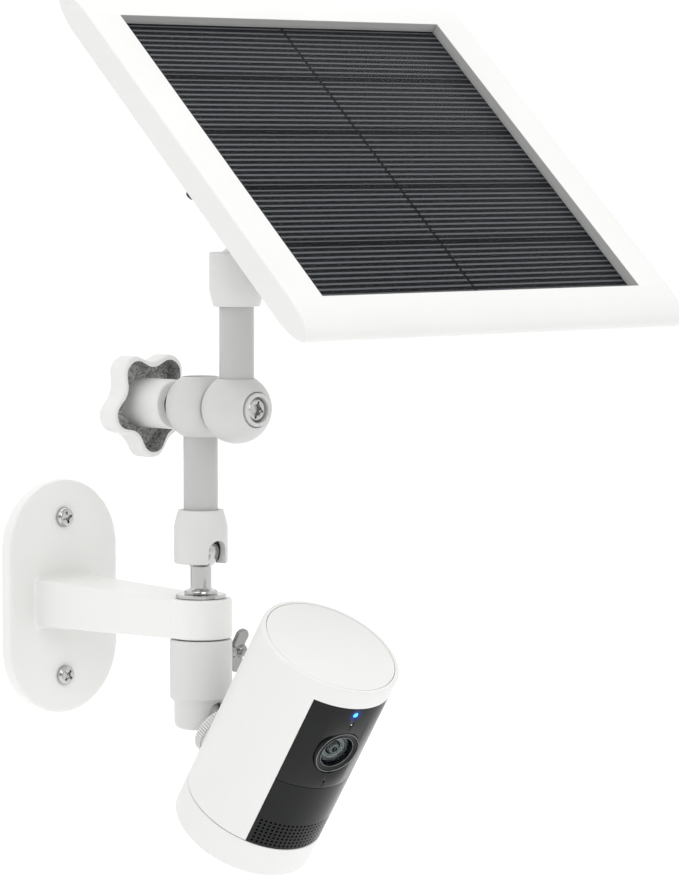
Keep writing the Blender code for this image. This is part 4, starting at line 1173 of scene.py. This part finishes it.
class CAMERA_OT_wing_screw(bpy.types.Operator):
    """Plated wing screw that locks the swivel"""

    bl_idname = "solarcam.wing_screw"
    bl_label = "Wing screw"

    def execute(self, context):
        outline = [(0, 6.3), (1.8, 6.3), (2.4, 6.9)]
        z = 7.2
        while z < 12.6:
            outline += [(2.4, z), (2.1, z + 0.4), (2.4, z + 0.8)]
            z += 0.9
        outline += [(2.4, 13.4), (3.0, 13.4), (3.4, 14.2), (3.4, 15.4), (2.8, 16.2), (2.8, 17.4)]
        outline += arc(0, 21.9, 3.1, -60, 90, 12)[:-1] + [(0, 25.0)]
        screw = turned("wing_screw_cast", outline, 64)
        for turn in (195.0, 15.0):
            leaf = [(1.0, 16.4), (1.0, 23.2), (3.6, 23.6)]
            leaf += arc(6.3, 21.4, 3.35, 95, -60, 10) + [(4.2, 17.2)]
            wing = raised("wing", leaf, -1.0, 1.0)
            rounded(wing, 0.6, 3, 50)
            place = Matrix.Rotation(math.radians(turn), 4, "Z") @ ALONG_OUT
            boolean(screw, wing, "UNION", place)
        rounded(screw, 0.25, 2, 50)
        wing_axes = MAST @ slide(z=WING.translation.z / MM) @ ALONG_X
        settle(screw, wing_axes, "wing", "wing", "steel", "wing_screw", smooth=40)
        return {"FINISHED"}


class CAMERA_OT_lock_ring(bpy.types.Operator):
    """Knurled lock ring between the stud and the camera's back"""

    bl_idname = "solarcam.lock_ring"
    bl_label = "Lock ring"

    def execute(self, context):
        back = context.scene.camera_sizes.back / MM
        z0, z1 = back - 5.7, back - 0.5
        r = 10.5
        outline = [(3.9, z0 + 2.6), (7.4, z0 + 2.6), (9.2, z0), (r - 0.7, z0), (r, z0 + 0.6),
                   (r, z1 - 0.6), (r - 0.5, z1), (3.9, z1)]
        ring = turned("lock_ring_knurled", outline, 120)
        edit(ring)

        def rib(centre, normal):
            side = math.hypot(centre.x, centre.y) > (r - 0.2) * MM and abs(normal.z) < 0.3
            turn = math.degrees(math.atan2(centre.y, centre.x)) % 360
            return side and int(turn / 3.0) % 2 == 0

        pick_faces(ring, rib)
        bpy.ops.mesh.extrude_region_move(TRANSFORM_OT_translate={"value": (0, 0, 0)})
        bpy.ops.transform.resize(value=(1.08, 1.08, 0.97),
                                 center_override=(0, 0, (z0 + z1) / 2 * MM))
        mend()
        settle(ring, STUD, "ring", "white_plastic", "white_plastic", "lock_ring")
        return {"FINISHED"}


def wedge(half_angle, reach, z0, z1, inner=0.0):
    """A sector facing -Y, in millimetres, cut short at an inner radius."""
    a = math.degrees(half_angle)
    steps = 40
    outline = arc(0, 0, reach, -90 - a, -90 + a, steps)
    outline += arc(0, 0, inner, -90 + a, -90 - a, steps) if inner else [(0, 0)]
    return raised("wedge", outline, z0, z1)


class CAMERA_OT_camera_body(bpy.types.Operator):
    """Camera shell, its top cap and its base cap"""

    bl_idname = "solarcam.camera_body"
    bl_label = "Camera body"

    def execute(self, context):
        size = context.scene.camera_sizes
        home = camera_frame()
        r, top = size.radius / MM, size.height / 2 / MM
        low = -top
        inner = r - size.wall / MM
        seam = low + size.base / MM
        face_top = seam + size.face / MM
        outline = [(inner, seam + 0.1), (r - 0.25, seam + 0.1), (r, seam + 0.35)]
        outline += arc(r - 0.9, top - 0.9, 0.9, 0, 80, 6)
        outline += [(28.2, top), (28.1, top - 0.2), (28.1, top - 3.1), (26.2, top - 3.1),
                    (26.2, top - 4.6), (inner, top - 6.1)]
        shell = turned("camera_shell_moulded", outline, 160)
        boolean(shell, wedge(size.face_angle, 40, seam - 3, face_top))
        stud_hole = Matrix.Rotation(-size.turn, 4, "Z") @ slide(z=-size.stud_drop / MM)
        boolean(shell, disc("cutter", STUD_HOLE, 15, 35, 48), "DIFFERENCE",
                stud_hole @ Matrix.Rotation(-math.pi / 2, 4, "X"))
        settle(shell, home, "camera", "white_plastic", "white_plastic", "camera_shell")
        cap = [(0, top - 2.6), (27.95, top - 2.6), (27.95, top - 0.35)]
        cap += arc(27.6, top - 0.35, 0.35, 0, 90, 3) + [(0, top)]
        lid = turned("top_cap_moulded", cap, 160)
        settle(lid, home, "camera", "white_plastic", "white_plastic", "top_cap")
        cup = [(0, low), (r - 2.2, low)] + arc(r - 1.8, low + 1.8, 1.8, -85, 0, 8)
        cup += [(r, seam - 0.45), (r - 0.25, seam - 0.2), (inner, seam - 0.2), (inner, low + 2.5),
                (0, low + 2.5)]
        base = turned("base_cap_moulded", cup, 160)
        settle(base, home, "base", "white_plastic", "white_plastic", "base_cap")
        insert = turned("mount_insert_turned", [(INSERT_BORE, 20.4), (5.0, 20.4), (5.0, r - 0.5),
                                                (4.7, r - 0.2), (INSERT_BORE, r - 0.2)], 48)
        settle(insert, home @ stud_hole @ Matrix.Rotation(-math.pi / 2, 4, "X"), "camera", "brass",
               "brass", "mount_insert")
        return {"FINISHED"}


class CAMERA_OT_camera_face(bpy.types.Operator):
    """Glossy face in two parts: lens side above, speaker side below"""

    bl_idname = "solarcam.camera_face"
    bl_label = "Camera face"

    def execute(self, context):
        size = context.scene.camera_sizes
        home = camera_frame()
        r, top = size.radius / MM, size.height / 2 / MM
        seam = -top + size.base / MM
        microphone, microphone_hole = 2.7, 0.55
        rows, row_pitch, first_row = 7, 1.75, 1.6
        speaker_angle = math.radians(2 * 36)
        half = size.face_angle - math.radians(0.35)
        upper = wedge(half, r - 0.08, SEAM_LINE + 0.12, seam + size.face / MM - 0.25, r - 2.2)
        upper.name = "face_upper_polished"
        upper.data.materials.append(finishes()["lit_black"])
        for z, hole in ((size.lens_height / MM, 10.4), (size.lamp_height / MM, 1.35),
                        (size.sensor_height / MM, 1.05), (microphone, microphone_hole)):
            boolean(upper, disc("cutter", hole, 20, 35, 64 if hole > 5 else 24), "DIFFERENCE",
                    slide(z=z) @ ALONG_OUT)
        rounded(upper, 0.15, 2, 50)
        settle(upper, home, "camera", "black_gloss", "black_gloss", "face_upper")
        lower = wedge(half, r - 0.08, seam + 0.1, SEAM_LINE - 0.12, r - 2.2)
        lower.name = "face_lower_polished"
        pitch = size.hole_pitch / MM
        steps = int(speaker_angle * r / pitch)
        first = disc("cutter", size.hole_radius / MM, 26, 32, 10)
        copies = []
        for row in range(rows):
            for column in range(steps + 1):
                turn = (column - steps / 2) * pitch / r
                place = Matrix.Rotation(turn, 4, "Z") @ slide(z=seam + first_row + row * row_pitch)
                copy = first.copy()
                copy.data = first.data.copy()
                context.scene.collection.objects.link(copy)
                copy.matrix_world = place @ ALONG_OUT
                copies.append(copy)
        activate(copies[0])
        for copy in copies:
            copy.select_set(True)
        bpy.ops.object.join()
        tool = context.active_object
        bpy.data.objects.remove(first, do_unlink=True)
        boolean(lower, tool)
        settle(lower, home, "camera", "black_gloss", "black_gloss", "face_lower", smooth=20)
        return {"FINISHED"}


class CAMERA_OT_lens(bpy.types.Operator):
    """Lens bezel, stepped barrel with its inner glass, and the domed front element"""

    bl_idname = "solarcam.lens"
    bl_label = "Lens"

    def execute(self, context):
        size = context.scene.camera_sizes
        place = camera_frame() @ slide(z=size.lens_height / MM) @ ALONG_OUT
        rim = [(7.1, 26.4), (10.2, 26.4), (10.2, 29.4)] + arc(9.85, 29.4, 0.35, 0, 90, 4)
        rim += [(9.5, 29.75), (9.3, 29.35), (7.9, 29.0), (7.6, 29.2), (7.3, 29.15), (7.1, 28.8)]
        bezel = turned("lens_bezel_turned", rim, 128)
        settle(bezel, place, "camera", "black_gloss", "black_plastic", "lens_ring")
        # Thin light metal rings on the black bezel's edges: painted highlights along its rims.
        for name, r, z in (("lens_edge_outer", 9.6, 29.72), ("lens_edge_inner", 7.45, 29.2)):
            edge = turned(name, [(r + 0.14 * math.cos(math.radians(45 * i)),
                                  z + 0.14 * math.sin(math.radians(45 * i))) for i in range(8)])
            settle(edge, place, "camera", "bezel_edge_highlight", "black_plastic")
        # The barrel and the inner element carry the painted reflection rings.
        barrel = [(0, 12.0), (6.4, 12.0), (6.4, 27.3), (6.1, 27.3), (5.9, 26.9), (5.2, 26.8),
                  (5.0, 26.5), (4.3, 26.4), (4.1, 26.1), (3.3, 26.0), (3.3, 25.6), (0, 25.6)]
        core = turned("lens_barrel_turned", barrel, 96)
        settle(core, place, "camera", "lens_rings", "black_plastic", "lens_barrel")
        inner = turned("lens_inner_element", [(0, 25.7), (3.2, 25.7), (3.2, 26.3)]
                       + arc(0, 23.01, 4.59, 45.8, 75, 8) + [(1.1, 27.3), (0, 27.3)], 64)
        settle(inner, place, "camera", "lens_rings", "clear_glass")
        pupil = turned("lens_pupil", [(0, 27.35), (0.9, 27.35), (0.9, 27.45)]
                       + arc(0, 26.6, 1.24, 43, 90, 8), 48)
        settle(pupil, place, "camera", "black_gloss", "clear_glass")
        front = arc(0, 12.0, 17.05, 90, 66.1, 14) + arc(0, 12.0, 17.55, 66.8, 90, 14)
        dome = turned("lens_front_element", front, 96)
        settle(dome, place, "camera", "clear_glass", "clear_glass", "lens_glass")
        return {"FINISHED"}


class CAMERA_OT_lamp(bpy.types.Operator):
    """Status lamp and light sensor window in the face"""

    bl_idname = "solarcam.lamp"
    bl_label = "Lamp and sensor"

    def execute(self, context):
        size = context.scene.camera_sizes
        for name, node, r, height, slot in (
                ("status_lamp_pipe", "led_window", 1.15, size.lamp_height, "blue_lamp"),
                ("light_sensor_pipe", "light_sensor_window", 0.85, size.sensor_height,
                 "grey_plastic")):
            outline = [(0, 26.6), (r, 26.6), (r, 29.5)] + arc(r - 0.3, 29.5, 0.3, 0, 90, 4)
            pipe = turned(name, outline + [(0, 29.85)], 40)
            placed(pipe, camera_frame() @ slide(z=height / MM) @ ALONG_OUT)
            finish = "blue_lamp" if slot == "blue_lamp" else "black_plastic"
            settle(pipe, None, "camera", finish, slot, node)
        eye = disc("light_sensor_eye", 0.32, 29.8, 29.93, 24)
        settle(eye, camera_frame() @ slide(z=size.sensor_height / MM) @ ALONG_OUT, "camera",
               "white_plastic", "grey_plastic")
        return {"FINISHED"}


class CAMERA_OT_inner_parts(bpy.types.Operator):
    """Finishes for the packed pieces that keep their own shape"""

    bl_idname = "solarcam.inner_parts"
    bl_label = "Inner parts"

    def execute(self, context):
        by_slot = {s["node"]: s["material_slot"] for s in frame["record"]["subparts"]}
        choices = finishes()
        for name, node in frame["nodes"].items():
            if node.hide_render:
                continue
            node.data.materials.clear()
            node.data.materials.append(choices[by_slot[name]])
        return {"FINISHED"}


class CAMERA_OT_stage(bpy.types.Operator):
    """Pale floor, soft studio light and the view"""

    bl_idname = "solarcam.stage"
    bl_label = "Stage"

    def execute(self, context):
        scene = context.scene
        view = scene.stage_settings
        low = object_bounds()[0].z
        deselect()
        bpy.ops.mesh.primitive_circle_add(vertices=96, radius=14.0, fill_type="NGON",
                                          location=(0, 0, low - 0.45))
        floor = named("floor")
        mat, tree, shader, coords = blank("matt_paper_white", Roughness=0.9)
        cloud = add(tree, "ShaderNodeTexNoise", {"Vector": coords, "Scale": 1.5}).outputs["Fac"]
        tone = add(tree, "ShaderNodeMix", {"Factor": cloud, "A": linear("#FFFFFF"),
                                           "B": linear("#FDFDFD")}, data_type="RGBA")
        tree.links.new(tone.outputs["Result"], shader.inputs["Base Color"])
        floor.data.materials.append(mat)
        floor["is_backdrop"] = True
        world = bpy.data.worlds.new("studio")
        scene.world = world
        world.use_nodes = True
        back = Vector((math.sin(view.azimuth) * math.cos(view.elevation),
                       -math.cos(view.azimuth) * math.cos(view.elevation),
                       math.sin(view.elevation)))
        studio(world.node_tree, back)
        for name, place, width, power in (
                ("key", (-1.9, -0.7, 1.5), 1.4, 8.0),
                ("front", (-0.9, -2.3, 1.0), 1.2, 10.5),
                ("top", (0.2, -0.2, 2.2), 1.6, 9.0)):
            deselect()
            bpy.ops.object.light_add(type="AREA", location=place)
            light = context.active_object
            light.name = name
            light.data.size = width
            light.data.energy = power
            light.rotation_mode = "QUATERNION"
            aim = Vector(view.aim) - Vector(place)
            light.rotation_quaternion = aim.to_track_quat("-Z", "Y")
        deselect()
        bpy.ops.object.camera_add(location=Vector(view.aim) + back * view.distance)
        camera = context.active_object
        camera.rotation_mode = "QUATERNION"
        camera.rotation_quaternion = (-back).to_track_quat("-Z", "Y")
        camera.data.lens = view.focal
        camera.data.sensor_width = 36.0
        camera.data.clip_start = 0.05
        camera.data.clip_end = 60.0
        scene.camera = camera
        scene.view_settings.view_transform = "Standard"
        return {"FINISHED"}


OPERATORS = (
    CAMERA_OT_wall_bracket, CAMERA_OT_wall_screws, CAMERA_OT_studs, CAMERA_OT_collars,
    CAMERA_OT_poles, CAMERA_OT_elbow, CAMERA_OT_star_knob, CAMERA_OT_panel_frame,
    CAMERA_OT_panel_window, CAMERA_OT_panel_mount, CAMERA_OT_swivel, CAMERA_OT_wing_screw,
    CAMERA_OT_lock_ring, CAMERA_OT_camera_body, CAMERA_OT_camera_face, CAMERA_OT_lens,
    CAMERA_OT_lamp, CAMERA_OT_inner_parts, CAMERA_OT_stage)
GROUPS = (("mount_sizes", MountSizes), ("panel_sizes", PanelSizes),
          ("camera_sizes", CameraSizes), ("colours", Colours), ("stage_settings", StageSettings))


class CAMERA_PT_pieces(bpy.types.Panel):
    """Lists the sizes and the steps that build the camera"""

    bl_label = "Solar camera"
    bl_idname = "CAMERA_PT_pieces"
    bl_space_type = "VIEW_3D"
    bl_region_type = "UI"
    bl_category = "Camera"

    def draw(self, context):
        for operator in OPERATORS:
            self.layout.operator(operator.bl_idname)
        for name, group in GROUPS:
            box = self.layout.box()
            box.label(text=group.__doc__)
            for key in group.__annotations__:
                box.prop(getattr(context.scene, name), key)


def register():
    for name, group in GROUPS:
        bpy.utils.register_class(group)
        setattr(bpy.types.Scene, name, bpy.props.PointerProperty(type=group))
    for cls in OPERATORS + (CAMERA_PT_pieces,):
        bpy.utils.register_class(cls)


def unregister():
    for cls in (CAMERA_PT_pieces,) + OPERATORS[::-1]:
        bpy.utils.unregister_class(cls)
    for name, group in GROUPS[::-1]:
        delattr(bpy.types.Scene, name)
        bpy.utils.unregister_class(group)


def main():
    register()
    for operator in OPERATORS:
        group, name = operator.bl_idname.split(".")
        getattr(getattr(bpy.ops, group), name)()


if __name__ == "__main__":
    main()
